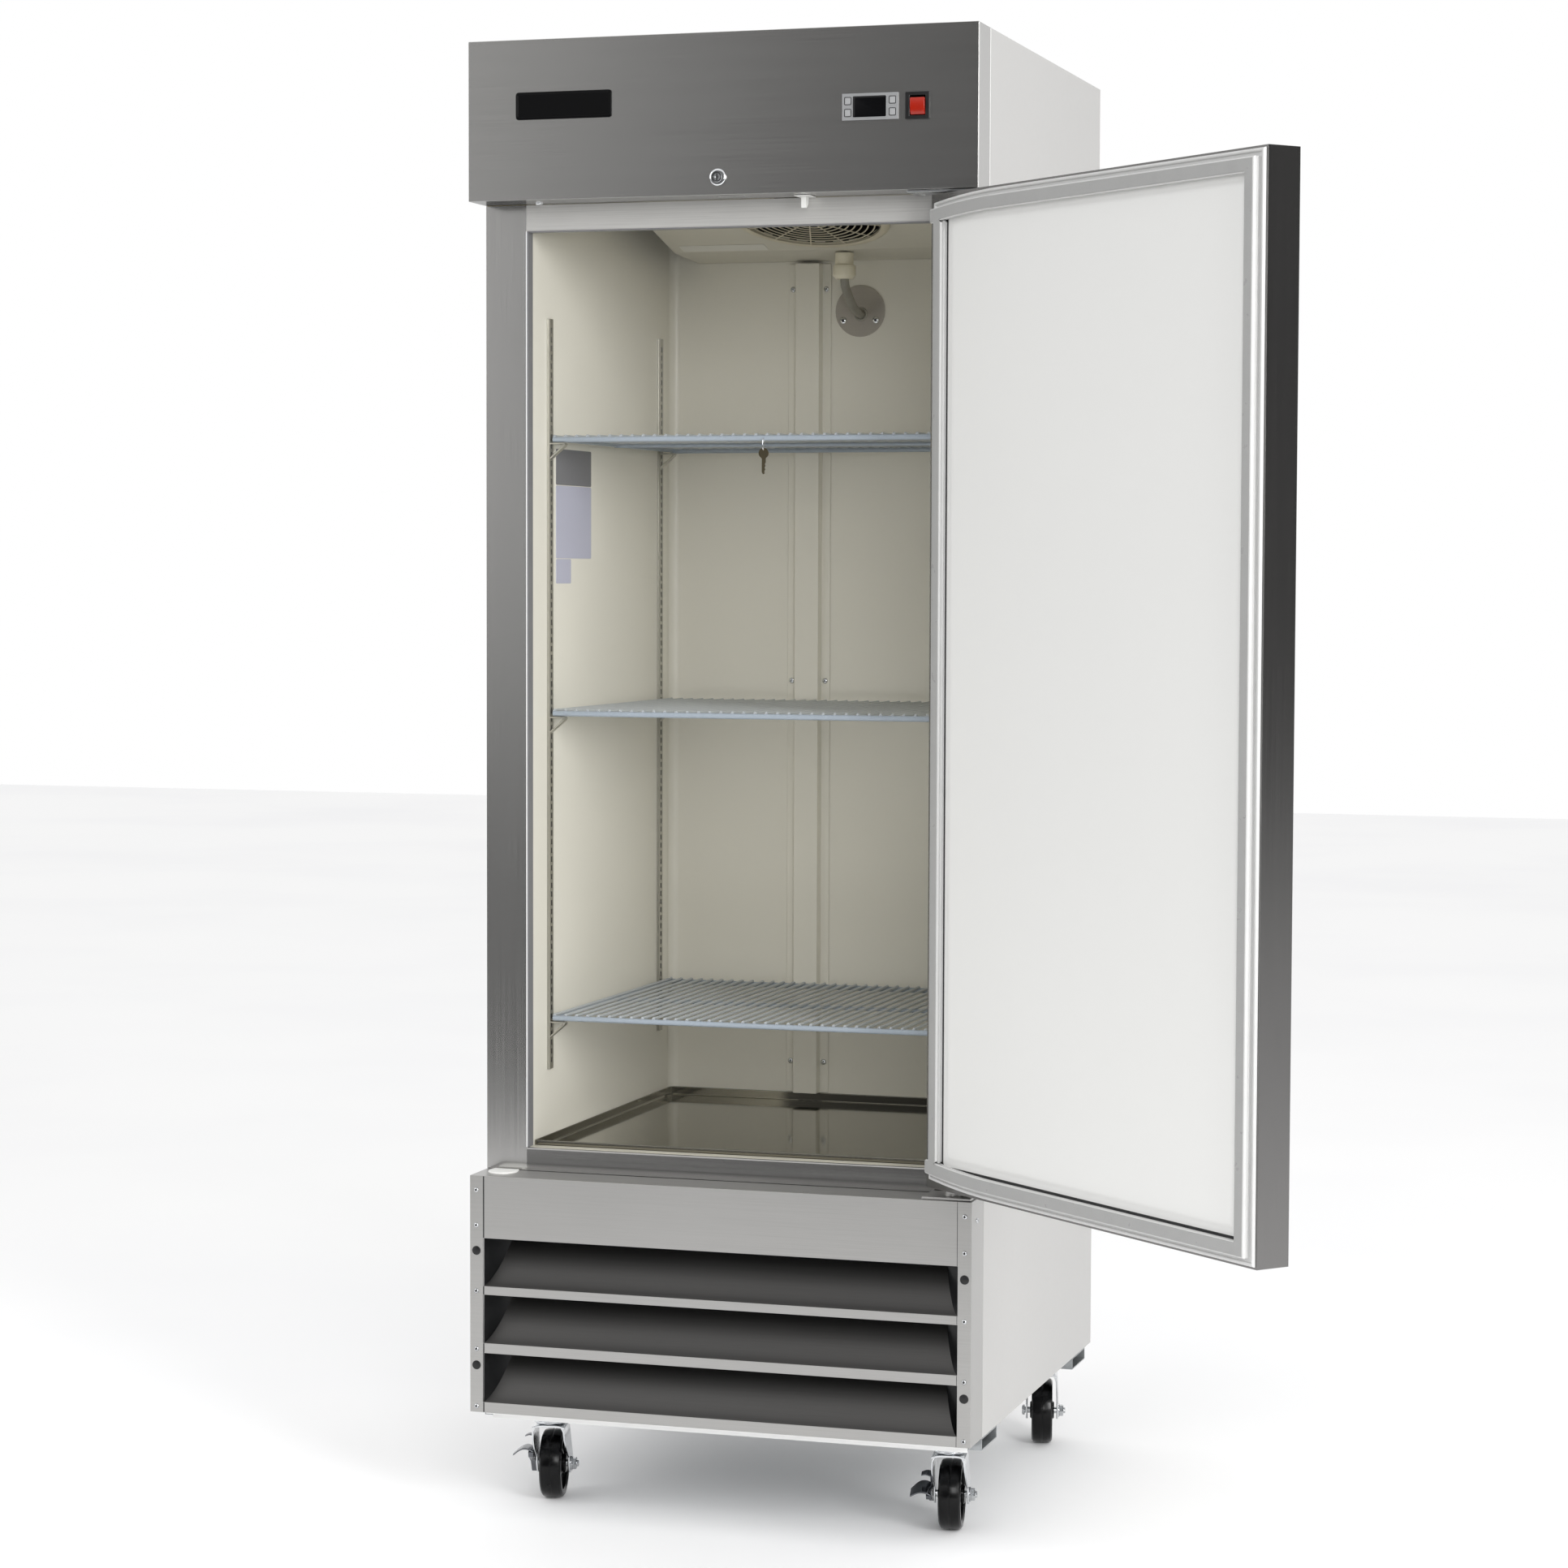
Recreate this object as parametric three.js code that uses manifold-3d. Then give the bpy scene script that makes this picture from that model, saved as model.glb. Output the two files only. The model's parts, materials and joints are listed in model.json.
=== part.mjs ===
// Single-door reach-in refrigerator on four swivel casters, with its door standing open.
// Millimetres, +Z up. Inside the model group X = 0 is the middle of the cabinet, Y = 0 is the
// front of the header and base boxes, +Y runs to the back, and Z = 0 is the floor. The group is
// then shifted so that the origin lies under the middle of everything, open door included.

import * as THREE from "three";
import { mergeVertices } from "three/addons/utils/BufferGeometryUtils.js";
import Module from "manifold-3d";

const wasm = await Module();
wasm.setup();

// Cabinet
const WIDTH = 737;
const DEPTH = 750;
const HEIGHT = 2090;
const HALF = WIDTH / 2;
const SKIN = 1.2;
const GAP = 0.3;
const FACE_Y = 65;
const SKIRT_Z = 152;
const LEDGE_Z = 492;
const SOFFIT_Z = 1868;

// Face frame and storage compartment
const STILE_X = 307;
const SILL_Z = 524.5;
const RAIL_Z = 1831;
const LINER_X = 305;
const LINER_BACK_Y = 690;
const LINER_TOP_Z = 2030;
const LINER_START_Y = 67;
const PAN_Z = 520;
const PAN_RIM = 13;
const PAN_FRONT_Y = 90;

// Door, given as it hangs when shut, and the open angle at rest
const PIN_X = 334.5;
const PIN_Y = 26;
const PIN_R = 6;
const DOOR_FREE_X = -359.5;
const DOOR_HINGE_X = 363.5;
const DOOR_FRONT_Y = 1;
const DOOR_BACK_Y = 50;
const DOOR_BOTTOM_Z = 506;
const DOOR_TOP_Z = 1863;
const DOOR_OPEN_DEG = 138.8;
const GASKET_Y = 62;
const GASKET_WIDTH = 24;
const GASKET_INSET = 8;
const GASKET_HINGE_INSET = 15;

// Shelves and their supports
const SHELF_Z = [703, 1145.5, 1540];
const SHELF_X = 296;
const SHELF_FRONT_Y = 148;
const SHELF_BACK_Y = 668;
const SHELF_WIRES = 36;
const PILASTER_Y = [149, 632];
const PILASTER_WIDTH = 16;
const PILASTER_Z = [629, 1713];

// Evaporator cover, with its fan opening
const COVER_TILT = THREE.MathUtils.degToRad(14.4);
const COVER_FRONT_Y = 150;
const COVER_BEND_Y = 568;
const COVER_BEND_Z = 1840;
const COVER_BACK_Z = 1833;
const FAN_Y = 433;
const GUARD_R = 120;
const FAN_R = 98;

// Base grille: the three louvre openings as [bottom, top]
const LOUVRE_Z = [[167, 237.5], [252, 321.5], [334, 402.7]];
const POST_WIDTH = 19.5;

// Casters: swivel axes, wheel, and the way each one points
const WHEEL_R = 50;
const WHEEL_WIDTH = 32;
const CASTER_TRAIL = 36;
const RAIL_BOTTOM_Z = 134.5;
const RAIL_Y = [64, 149];
const REAR_RAIL_SHIFT = 560;
const CASTERS = [
  { name: "front_left", x: -288.5, y: 112, heading: 12, brake: 0 },
  { name: "front_right", x: 310, y: 112, heading: 9, brake: 24 },
  { name: "rear_right", x: 310, y: 672, heading: 13 },
  { name: "rear_left", x: -288.5, y: 672, heading: 11 },
];

// Middle of the bounding box, with the door open
const ORIGIN = new THREE.Vector3(252, 148.5, 0);

const model = new THREE.Group();
model.position.copy(ORIGIN).negate();

const finishes = {
  stainless: { color: 0x8f8e8a, roughness: 0.35, metalness: 1 },
  aluminium: { color: 0xdcdcda, roughness: 0.45, metalness: 0.6 },
  galvanised: { color: 0xb9bcbd, roughness: 0.5, metalness: 0.9 },
  liner: { color: 0xe6e2d2, roughness: 0.4, metalness: 0 },
  white: { color: 0xececea, roughness: 0.4, metalness: 0 },
  polished: { color: 0xc9c8c2, roughness: 0.15, metalness: 1 },
  foam: { color: 0xd9c27a, roughness: 0.9, metalness: 0 },
  coated_wire: { color: 0x9aa3ae, roughness: 0.45, metalness: 0 },
  black: { color: 0x141414, roughness: 0.35, metalness: 0 },
  silver_plastic: { color: 0xa7a8aa, roughness: 0.4, metalness: 0.1 },
  red: { color: 0xb8231c, roughness: 0.3, metalness: 0 },
  chrome: { color: 0xd4d6d8, roughness: 0.12, metalness: 1 },
  rubber: { color: 0xb4b4b2, roughness: 0.8, metalness: 0 },
  cream: { color: 0xe2dbc0, roughness: 0.5, metalness: 0 },
  hose: { color: 0x87857a, roughness: 0.7, metalness: 0 },
  wheel: { color: 0x111112, roughness: 0.3, metalness: 0 },
  coil: { color: 0xa9adb0, roughness: 0.5, metalness: 0.8 },
  compressor: { color: 0x1b1c1e, roughness: 0.5, metalness: 0.3 },
};

function solid(geometry) {
  const bare = geometry.index ? geometry.toNonIndexed() : geometry.clone();
  bare.deleteAttribute("normal");
  bare.deleteAttribute("uv");
  const merged = mergeVertices(bare, 1e-4);
  const mesh = new wasm.Mesh({
    numProp: 3,
    vertProperties: new Float32Array(merged.attributes.position.array),
    triVerts: new Uint32Array(merged.index.array),
  });
  return new wasm.Manifold(mesh);
}

function join(...pieces) {
  return pieces.reduce((whole, piece) => whole.add(piece));
}

function cut(body, ...tools) {
  return tools.reduce((rest, tool) => rest.subtract(tool), body);
}

function box([x0, x1], [y0, y1], [z0, z1]) {
  const geometry = new THREE.BoxGeometry(x1 - x0, y1 - y0, z1 - z0);
  geometry.translate((x0 + x1) / 2, (y0 + y1) / 2, (z0 + z1) / 2);
  return solid(geometry);
}

// Turns the local Z axis of a round piece along the named axis.
const axisTurn = {
  x: new THREE.Matrix4().makeRotationY(Math.PI / 2),
  y: new THREE.Matrix4().makeRotationX(-Math.PI / 2),
  z: new THREE.Matrix4(),
};

function turned(profile, axis, [x, y, z], segments = 20) {
  const points = profile.map(([r, h]) => new THREE.Vector2(r, h));
  const geometry = new THREE.LatheGeometry(points, segments);
  geometry.rotateX(Math.PI / 2);
  geometry.applyMatrix4(axisTurn[axis]);
  geometry.translate(x, y, z);
  return solid(geometry);
}

function rod(radius, axis, [x, y, z], [from, to], segments = 16) {
  return turned([[0, from], [radius, from], [radius, to], [0, to]], axis, [x, y, z], segments);
}

function disc(outer, inner, axis, [x, y, z], [from, to], segments = 24) {
  const profile = [[inner, from], [outer, from], [outer, to], [inner, to], [inner, from]];
  return turned(profile, axis, [x, y, z], segments);
}

// Extrudes an outline of (y, z) points along X, from x0 to x1.
function barAlongX(outline, [x0, x1]) {
  const shape = new THREE.Shape(outline.map(([y, z]) => new THREE.Vector2(y, z)));
  const geometry = new THREE.ExtrudeGeometry(shape, { depth: x1 - x0, bevelEnabled: false });
  const frame = new THREE.Matrix4().makeBasis(
    new THREE.Vector3(0, 1, 0),
    new THREE.Vector3(0, 0, 1),
    new THREE.Vector3(1, 0, 0),
  );
  geometry.applyMatrix4(frame);
  geometry.translate(x0, 0, 0);
  return solid(geometry);
}

// Extrudes an outline of (x, y) points along Z.
function barAlongZ(outline, [z0, z1]) {
  const shape = new THREE.Shape(outline.map(([x, y]) => new THREE.Vector2(x, y)));
  const geometry = new THREE.ExtrudeGeometry(shape, { depth: z1 - z0, bevelEnabled: false });
  geometry.translate(0, 0, z0);
  return solid(geometry);
}

// Extrudes an outline of (x, z) points along Y.
function barAlongY(outline, [y0, y1]) {
  const shape = new THREE.Shape(outline.map(([x, z]) => new THREE.Vector2(x, z)));
  const geometry = new THREE.ExtrudeGeometry(shape, { depth: y1 - y0, bevelEnabled: false });
  geometry.rotateX(Math.PI / 2);
  geometry.translate(0, y1, 0);
  return solid(geometry);
}

function rectangle([x0, x1], [y0, y1]) {
  return [[x0, y0], [x1, y0], [x1, y1], [x0, y1]];
}

function turnedBy(piece, axis, angle, [x, y, z]) {
  const matrix = new THREE.Matrix4().makeTranslation(x, y, z);
  const turn = { x: "makeRotationX", y: "makeRotationY", z: "makeRotationZ" }[axis];
  matrix.multiply(new THREE.Matrix4()[turn](angle));
  matrix.multiply(new THREE.Matrix4().makeTranslation(-x, -y, -z));
  return piece.transform(matrix.elements);
}

function moved(piece, [x, y, z]) {
  return piece.translate([x, y, z]);
}

function mirrored(piece) {
  return piece.mirror([1, 0, 0]);
}

function part(parent, name, piece, finish) {
  const mesh = piece.getMesh();
  const geometry = new THREE.BufferGeometry();
  geometry.setAttribute("position", new THREE.BufferAttribute(mesh.vertProperties, 3));
  geometry.setIndex(new THREE.BufferAttribute(mesh.triVerts, 1));
  geometry.computeVertexNormals();
  const node = new THREE.Mesh(geometry, new THREE.MeshStandardMaterial(finishes[finish]));
  node.name = name;
  parent.add(node);
}

// Outer casing -------------------------------------------------------------------------------

const CASE_Y = FACE_Y + 1.8;
const DECK_Z = LEDGE_Z - 0.5;
const HEM = 12;

function sidePanel() {
  const skin = box([HALF - SKIN, HALF], [CASE_Y, DEPTH], [SKIRT_Z, HEIGHT]);
  const hem = box([HALF - HEM, HALF], [CASE_Y, DEPTH], [SKIRT_Z, SKIRT_Z + SKIN]);
  return join(skin, hem);
}

part(model, "side_panel_right", sidePanel(), "aluminium");
part(model, "side_panel_left", mirrored(sidePanel()), "aluminium");

const CASE_X = HALF - SKIN - GAP;

const rearSkin = barAlongX([
  [CASE_Y, DECK_Z],
  [DEPTH, DECK_Z],
  [DEPTH, HEIGHT - SKIN - GAP],
  [DEPTH - SKIN, HEIGHT - SKIN - GAP],
  [DEPTH - SKIN, DECK_Z + SKIN],
  [CASE_Y, DECK_Z + SKIN],
], [-CASE_X, CASE_X]);
part(model, "back_panel", rearSkin, "galvanised");

const roof = box([-CASE_X, CASE_X], [CASE_Y, DEPTH], [HEIGHT - SKIN, HEIGHT]);
part(model, "roof_panel", roof, "galvanised");

const foamBlock = box(
  [-CASE_X + GAP, CASE_X - GAP],
  [CASE_Y + GAP, DEPTH - SKIN - GAP],
  [DECK_Z + SKIN + GAP, HEIGHT - SKIN - GAP],
);
const foamCavity = box([-LINER_X - 2, LINER_X + 2], [0, LINER_BACK_Y + 2], [PAN_Z - 4, LINER_TOP_Z + 2]);
part(model, "insulation", cut(foamBlock, foamCavity), "foam");

// Face frame ---------------------------------------------------------------------------------

const frameOutline = rectangle([-HALF + GAP, HALF - GAP], [LEDGE_Z + GAP, SOFFIT_Z - GAP]);
const frameOpening = rectangle([-STILE_X, STILE_X], [SILL_Z, RAIL_Z]);
const framePlate = cut(
  barAlongY(frameOutline, [FACE_Y, FACE_Y + 1.5]),
  barAlongY(frameOpening, [FACE_Y - 5, FACE_Y + 5]),
);
const threshold = box([-LINER_X + 1, LINER_X - 1], [FACE_Y, PAN_FRONT_Y - GAP], [SILL_Z - 1.5, SILL_Z]);
part(model, "front_frame", join(framePlate, threshold), "stainless");

// Storage compartment ------------------------------------------------------------------------

const LINER_T = 1.5;
const linerSide = box([LINER_X, LINER_X + LINER_T], [LINER_START_Y, LINER_BACK_Y], [PAN_Z - 3, LINER_TOP_Z]);
part(model, "liner_right", linerSide, "liner");
part(model, "liner_left", mirrored(linerSide), "liner");

const linerBack = box(
  [-LINER_X - LINER_T, LINER_X + LINER_T],
  [LINER_BACK_Y + GAP, LINER_BACK_Y + LINER_T],
  [PAN_Z - 3, LINER_TOP_Z],
);
part(model, "liner_back", linerBack, "liner");

const linerTop = box(
  [-LINER_X - LINER_T, LINER_X + LINER_T],
  [LINER_START_Y, LINER_BACK_Y + LINER_T],
  [LINER_TOP_Z + GAP, LINER_TOP_Z + LINER_T],
);
part(model, "liner_ceiling", linerTop, "liner");

const panOuter = box(
  [-LINER_X + 0.5, LINER_X - 0.5],
  [PAN_FRONT_Y, LINER_BACK_Y - 0.5],
  [PAN_Z - 1.5, PAN_Z + PAN_RIM],
);
const panInner = box(
  [-LINER_X + 2, LINER_X - 2],
  [PAN_FRONT_Y + 1.5, LINER_BACK_Y - 2],
  [PAN_Z, PAN_Z + PAN_RIM + 1],
);
part(model, "floor_pan", cut(panOuter, panInner), "polished");

// Wiring channel on the back wall: raised spine between two screwed flanges.
const CHANNEL = { left: -111, spineLeft: -95.5, spineRight: -57, right: -42, rise: 17, top: 1829 };
const backFace = LINER_BACK_Y - 2.3;
const channelOutline = [
  [CHANNEL.left, LINER_BACK_Y - GAP],
  [CHANNEL.left, backFace],
  [CHANNEL.spineLeft - 1.5, backFace],
  [CHANNEL.spineLeft, LINER_BACK_Y - CHANNEL.rise],
  [CHANNEL.spineRight, LINER_BACK_Y - CHANNEL.rise],
  [CHANNEL.spineRight + 1.5, backFace],
  [CHANNEL.right, backFace],
  [CHANNEL.right, LINER_BACK_Y - GAP],
  [CHANNEL.spineRight - 1.5, LINER_BACK_Y - GAP],
  [CHANNEL.spineRight - 1.5, LINER_BACK_Y - CHANNEL.rise + 1.5],
  [CHANNEL.spineLeft + 1.5, LINER_BACK_Y - CHANNEL.rise + 1.5],
  [CHANNEL.spineLeft + 1.5, LINER_BACK_Y - GAP],
];
const channel = barAlongZ(channelOutline, [PAN_Z + PAN_RIM + GAP, CHANNEL.top]);
part(model, "back_channel", channel, "white");

// Slotted shelf supports, each with one hook clip under every shelf.
const CLIP = { reach: 24, width: 12, height: 24, bar: 4 };
const STRIP_T = 4;

function shelfClip(y, shelfZ) {
  const wall = LINER_X - GAP - STRIP_T / 2;
  const top = shelfZ - 4;
  const tip = wall - CLIP.reach;
  const outline = [
    [wall, top],
    [tip, top],
    [tip, top - CLIP.bar],
    [wall - 2, top - CLIP.height],
    [wall, top - CLIP.height],
    [wall, top - CLIP.height + CLIP.bar],
    [tip + CLIP.bar * 2, top - CLIP.bar],
    [wall, top - CLIP.bar],
  ];
  return barAlongY(outline, [y - CLIP.width / 2, y + CLIP.width / 2]);
}

function pilaster(y) {
  const strip = box(
    [LINER_X - GAP - STRIP_T, LINER_X - GAP],
    [y - PILASTER_WIDTH / 2, y + PILASTER_WIDTH / 2],
    PILASTER_Z,
  );
  return join(strip, ...SHELF_Z.map((z) => shelfClip(y, z)));
}

for (const [place, y] of [["front", PILASTER_Y[0]], ["rear", PILASTER_Y[1]]]) {
  part(model, `pilaster_right_${place}`, pilaster(y), "chrome");
  part(model, `pilaster_left_${place}`, mirrored(pilaster(y)), "chrome");
}

// Wire shelves: a grid of wires running front to back on round cross rods.
const ROD_R = 3.5;
const WIRE_WIDTH = 3.2;
const WIRE_TOP = 5;

function shelf(z) {
  const pitch = (2 * SHELF_X) / (SHELF_WIRES - 1);
  const slots = [];
  for (let i = 0; i < SHELF_WIRES - 1; i += 1) {
    const left = -SHELF_X + i * pitch + WIRE_WIDTH / 2;
    const right = left + pitch - WIRE_WIDTH;
    slots.push(box([left, right], [SHELF_FRONT_Y + 4, SHELF_BACK_Y - 4], [z - 5, z + 10]));
  }
  const edge = SHELF_X + WIRE_WIDTH / 2;
  const plate = box([-edge, edge], [SHELF_FRONT_Y - 1, SHELF_BACK_Y + 1], [z + 1.5, z + WIRE_TOP]);
  const grid = cut(plate, ...slots);
  const rods = [SHELF_FRONT_Y, SHELF_BACK_Y].map((y) => rod(ROD_R, "x", [0, y, z], [-edge, edge], 8));
  const middle = (SHELF_FRONT_Y + SHELF_BACK_Y) / 2;
  const brace = box([-edge, edge], [middle - 3, middle + 3], [z - ROD_R, z + 2]);
  return join(grid, ...rods, brace);
}

part(model, "shelf_lower", shelf(SHELF_Z[0]), "coated_wire");
part(model, "shelf_middle", shelf(SHELF_Z[1]), "coated_wire");
part(model, "shelf_upper", shelf(SHELF_Z[2]), "coated_wire");

// Evaporator housing: folded cover with drain pan, fan guard, fan, finned coil -----------------

const SHEET_T = 1.5;
const COVER_X = 258;
const coverFrontZ = COVER_BEND_Z + (COVER_BEND_Y - COVER_FRONT_Y) * Math.tan(COVER_TILT);
const fanZ = COVER_BEND_Z + (COVER_BEND_Y - FAN_Y) * Math.tan(COVER_TILT);
const fanCentre = [0, FAN_Y, fanZ];
const coverEndY = LINER_BACK_Y - 1;

function tiltedToCover(piece) {
  return turnedBy(piece, "x", -COVER_TILT, fanCentre);
}

const coverSheet = barAlongX([
  [COVER_FRONT_Y, LINER_TOP_Z - GAP],
  [COVER_FRONT_Y, coverFrontZ],
  [COVER_BEND_Y, COVER_BEND_Z],
  [coverEndY, COVER_BACK_Z],
  [coverEndY, COVER_BACK_Z + SHEET_T],
  [COVER_BEND_Y, COVER_BEND_Z + SHEET_T],
  [COVER_FRONT_Y + SHEET_T, coverFrontZ + SHEET_T],
  [COVER_FRONT_Y + SHEET_T, LINER_TOP_Z - GAP],
], [-COVER_X, COVER_X]);
const fanHole = tiltedToCover(rod(FAN_R + 8, "z", fanCentre, [-20, 20], 24));

// Strap that carries the fan motor over the hole.
const STRAP_RISE = 62;
const MOTOR_R = 32;

function motorStrap(turn) {
  const [x, y, z] = fanCentre;
  const legX = FAN_R + 14;
  const legs = [-1, 1].map((side) => box(
    [side * legX - 2, side * legX + 2],
    [y - 10, y + 10],
    [z + 0.5, z + STRAP_RISE],
  ));
  const bridge = box([-legX - 2, legX + 2], [y - 10, y + 10], [z + STRAP_RISE - 2, z + STRAP_RISE]);
  const motor = rod(MOTOR_R, "z", [x, y, z], [STRAP_RISE - 22, STRAP_RISE + 14], 16);
  return turn(join(...legs, bridge, motor));
}

const evaporatorCover = join(cut(coverSheet, fanHole), motorStrap(tiltedToCover));
part(model, "evaporator_cover", evaporatorCover, "white");

// Guard of concentric rings crossed by six spokes.
function fanGuard() {
  const [x, y, z] = fanCentre;
  const low = -5.5;
  const high = -GAP - 0.2;
  const rings = [[GUARD_R, GUARD_R - 14], [86, 81], [58, 53]]
    .map(([outer, inner]) => disc(outer, inner, "z", [x, y, z], [low, high], 20));
  const cap = rod(26, "z", [x, y, z], [low, high], 12);
  const spokes = [0, 60, 120].map((angle) => turnedBy(
    box([-GUARD_R + 6, GUARD_R - 6], [y - 1.5, y + 1.5], [z + low + 1, z + high]),
    "z",
    THREE.MathUtils.degToRad(angle),
    fanCentre,
  ));
  return tiltedToCover(join(...rings, cap, ...spokes));
}
part(model, "fan_guard", fanGuard(), "cream");

// Axial fan: hub and twisted blades about local Z.
function fanRotor(radius, hub, depth, blades) {
  const pieces = [rod(hub, "z", [0, 0, 0], [-depth / 2, depth / 2], 16)];
  for (let i = 0; i < blades; i += 1) {
    const blade = box([-1.2, 1.2], [hub - 3, radius], [-depth / 2 - 2, depth / 2 + 2]);
    const pitched = turnedBy(blade, "y", THREE.MathUtils.degToRad(52), [0, 0, 0]);
    pieces.push(turnedBy(pitched, "z", (i * 2 * Math.PI) / blades, [0, 0, 0]));
  }
  return join(...pieces);
}

const FAN_LIFT = 26;
const evaporatorFan = tiltedToCover(moved(fanRotor(FAN_R, 20, 18, 5), [0, FAN_Y, fanZ + FAN_LIFT]));
part(model, "evaporator_fan", evaporatorFan, "black");

// Finned block: thin fins on a tube pack, cut as a comb.
function finnedCoil([x0, x1], [y0, y1], [z0, z1], fins, tubeDepth) {
  const finShare = 0.4;
  const pitch = (x1 - x0) / (fins - 1 + finShare);
  const outline = [[x0, y1], [x0, y0]];
  for (let i = 0; i < fins; i += 1) {
    const left = x0 + i * pitch;
    const right = left + pitch * finShare;
    outline.push([right, y0]);
    if (i < fins - 1) {
      outline.push([right, y1 - tubeDepth], [left + pitch, y1 - tubeDepth], [left + pitch, y0]);
    }
  }
  outline.push([x1, y1]);
  return barAlongZ(outline, [z0, z1]);
}

const COIL = { x: 230, y: [575, 676], z: [1848, 2018] };
const coilHangers = [-1, 1].map((side) => box(
  [side * COIL.x - 1, side * COIL.x + 1],
  COIL.y,
  [COIL.z[0], LINER_TOP_Z - GAP],
));
const evaporatorCoil = join(finnedCoil([-COIL.x, COIL.x], COIL.y, COIL.z, 20, 18), ...coilHangers);
part(model, "evaporator_coil", evaporatorCoil, "coil");

// Drain: socket under the pan, hose to the round plate on the back wall.
const DRAIN = { x: 6, y: 597, top: 1837, bottom: 1801, r: 16 };
const PLATE = { x: 5, z: 1755, r: 40, holeX: 6.5, holeZ: 1750, holeR: 8.5 };
const HOSE_R = 7;

const socket = turned([
  [HOSE_R + GAP, DRAIN.bottom],
  [11, DRAIN.bottom - 4],
  [DRAIN.r + 1.5, DRAIN.bottom],
  [DRAIN.r + 1.5, DRAIN.bottom + 17],
  [DRAIN.r - 2, DRAIN.bottom + 18],
  [DRAIN.r - 2, DRAIN.top],
  [HOSE_R + GAP, DRAIN.top],
  [HOSE_R + GAP, DRAIN.bottom],
], "z", [DRAIN.x, DRAIN.y, 0], 16);
part(model, "drain_socket", socket, "cream");

const hosePath = new THREE.CatmullRomCurve3([
  new THREE.Vector3(DRAIN.x, DRAIN.y, DRAIN.bottom + 14),
  new THREE.Vector3(DRAIN.x, DRAIN.y + 1, DRAIN.bottom - 6),
  new THREE.Vector3(DRAIN.x, DRAIN.y + 14, DRAIN.bottom - 22),
  new THREE.Vector3(DRAIN.x, DRAIN.y + 42, DRAIN.bottom - 40),
  new THREE.Vector3(PLATE.holeX, LINER_BACK_Y - 22, PLATE.holeZ + 2),
  new THREE.Vector3(PLATE.holeX, LINER_BACK_Y - 2, PLATE.holeZ),
]);

function roundSection(radius, sides) {
  const corner = (i) => (i * 2 * Math.PI) / sides;
  const points = Array.from({ length: sides }, (_, i) => new THREE.Vector2(
    radius * Math.cos(corner(i)),
    radius * Math.sin(corner(i)),
  ));
  return new THREE.Shape(points);
}

const hoseSection = roundSection(HOSE_R - GAP, 10);
const hoseTube = new THREE.ExtrudeGeometry(hoseSection, { steps: 14, extrudePath: hosePath });
part(model, "drain_hose", solid(hoseTube), "hose");

const wallPlate = cut(
  rod(PLATE.r, "y", [PLATE.x, LINER_BACK_Y, PLATE.z], [-2, -GAP], 32),
  rod(PLATE.holeR, "y", [PLATE.holeX, LINER_BACK_Y, PLATE.holeZ], [-5, 5], 16),
);
part(model, "hose_cover_plate", wallPlate, "stainless");

// Header box with its controls ---------------------------------------------------------------

const CONTROLLER = { x: [178, 257], z: [1963, 1999] };
const SWITCH = { x: [267, 301], z: [1962, 1999] };
const LOCK_Z = 1892;
const LOCK_R = 11.7;
const CAM_SLOT = { x: [-9, 31], y: [20, 30] };
const DOOR_SWITCH = { x: [101, 124], y: [26, 56] };

function inset([from, to], amount) {
  return [from + amount, to - amount];
}

const header = cut(
  box([-HALF, HALF], [0, FACE_Y], [SOFFIT_Z, HEIGHT]),
  box([-HALF + SKIN, HALF - SKIN], [SKIN, FACE_Y + 5], [SOFFIT_Z + SKIN, HEIGHT - SKIN]),
  box(inset(CONTROLLER.x, 3), [-5, 5], inset(CONTROLLER.z, 3)),
  box(inset(SWITCH.x, 3), [-5, 5], inset(SWITCH.z, 3)),
  rod(9.5, "y", [0, 0, LOCK_Z], [-5, 5], 20),
  box(CAM_SLOT.x, CAM_SLOT.y, [SOFFIT_Z - 5, SOFFIT_Z + 5]),
  box(inset(DOOR_SWITCH.x, 3), inset(DOOR_SWITCH.y, 3), [SOFFIT_Z - 5, SOFFIT_Z + 5]),
);
part(model, "header_panel", header, "stainless");

// Controller: bezel and display body, with a pocket for each key.
const KEY = { width: 8, height: 9, proud: 0.8, depth: 5 };
const KEYS = {
  key_upper_left: [186, 1989],
  key_lower_left: [186, 1973],
  key_up: [249, 1989],
  key_down: [249, 1973],
};

const keyPockets = Object.values(KEYS).map(([x, z]) => box(
  [x - KEY.width / 2 - 0.4, x + KEY.width / 2 + 0.4],
  [-5, 6],
  [z - KEY.height / 2 - 0.4, z + KEY.height / 2 + 0.4],
));
const controller = cut(
  join(
    box(CONTROLLER.x, [-2.5, -GAP], CONTROLLER.z),
    box(inset(CONTROLLER.x, 4), [-1, 58], inset(CONTROLLER.z, 4)),
  ),
  ...keyPockets,
);
part(model, "controller_housing", controller, "silver_plastic");

for (const [name, [x, z]] of Object.entries(KEYS)) {
  const key = box(
    [x - KEY.width / 2, x + KEY.width / 2],
    [-2.5 - KEY.proud, -2.5 - KEY.proud + KEY.depth],
    [z - KEY.height / 2, z + KEY.height / 2],
  );
  part(model, name, key, "silver_plastic");
}

// Power switch: snap-in bezel and a rocker on a cross pin.
const switchWell = box(inset(SWITCH.x, 6), [-5, 22], inset(SWITCH.z, 5));
const switchBezel = cut(
  join(
    box(SWITCH.x, [-2.5, -GAP], SWITCH.z),
    box(inset(SWITCH.x, 4), [-1, 24], inset(SWITCH.z, 3.5)),
  ),
  switchWell,
);
part(model, "switch_bezel", switchBezel, "black");

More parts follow.
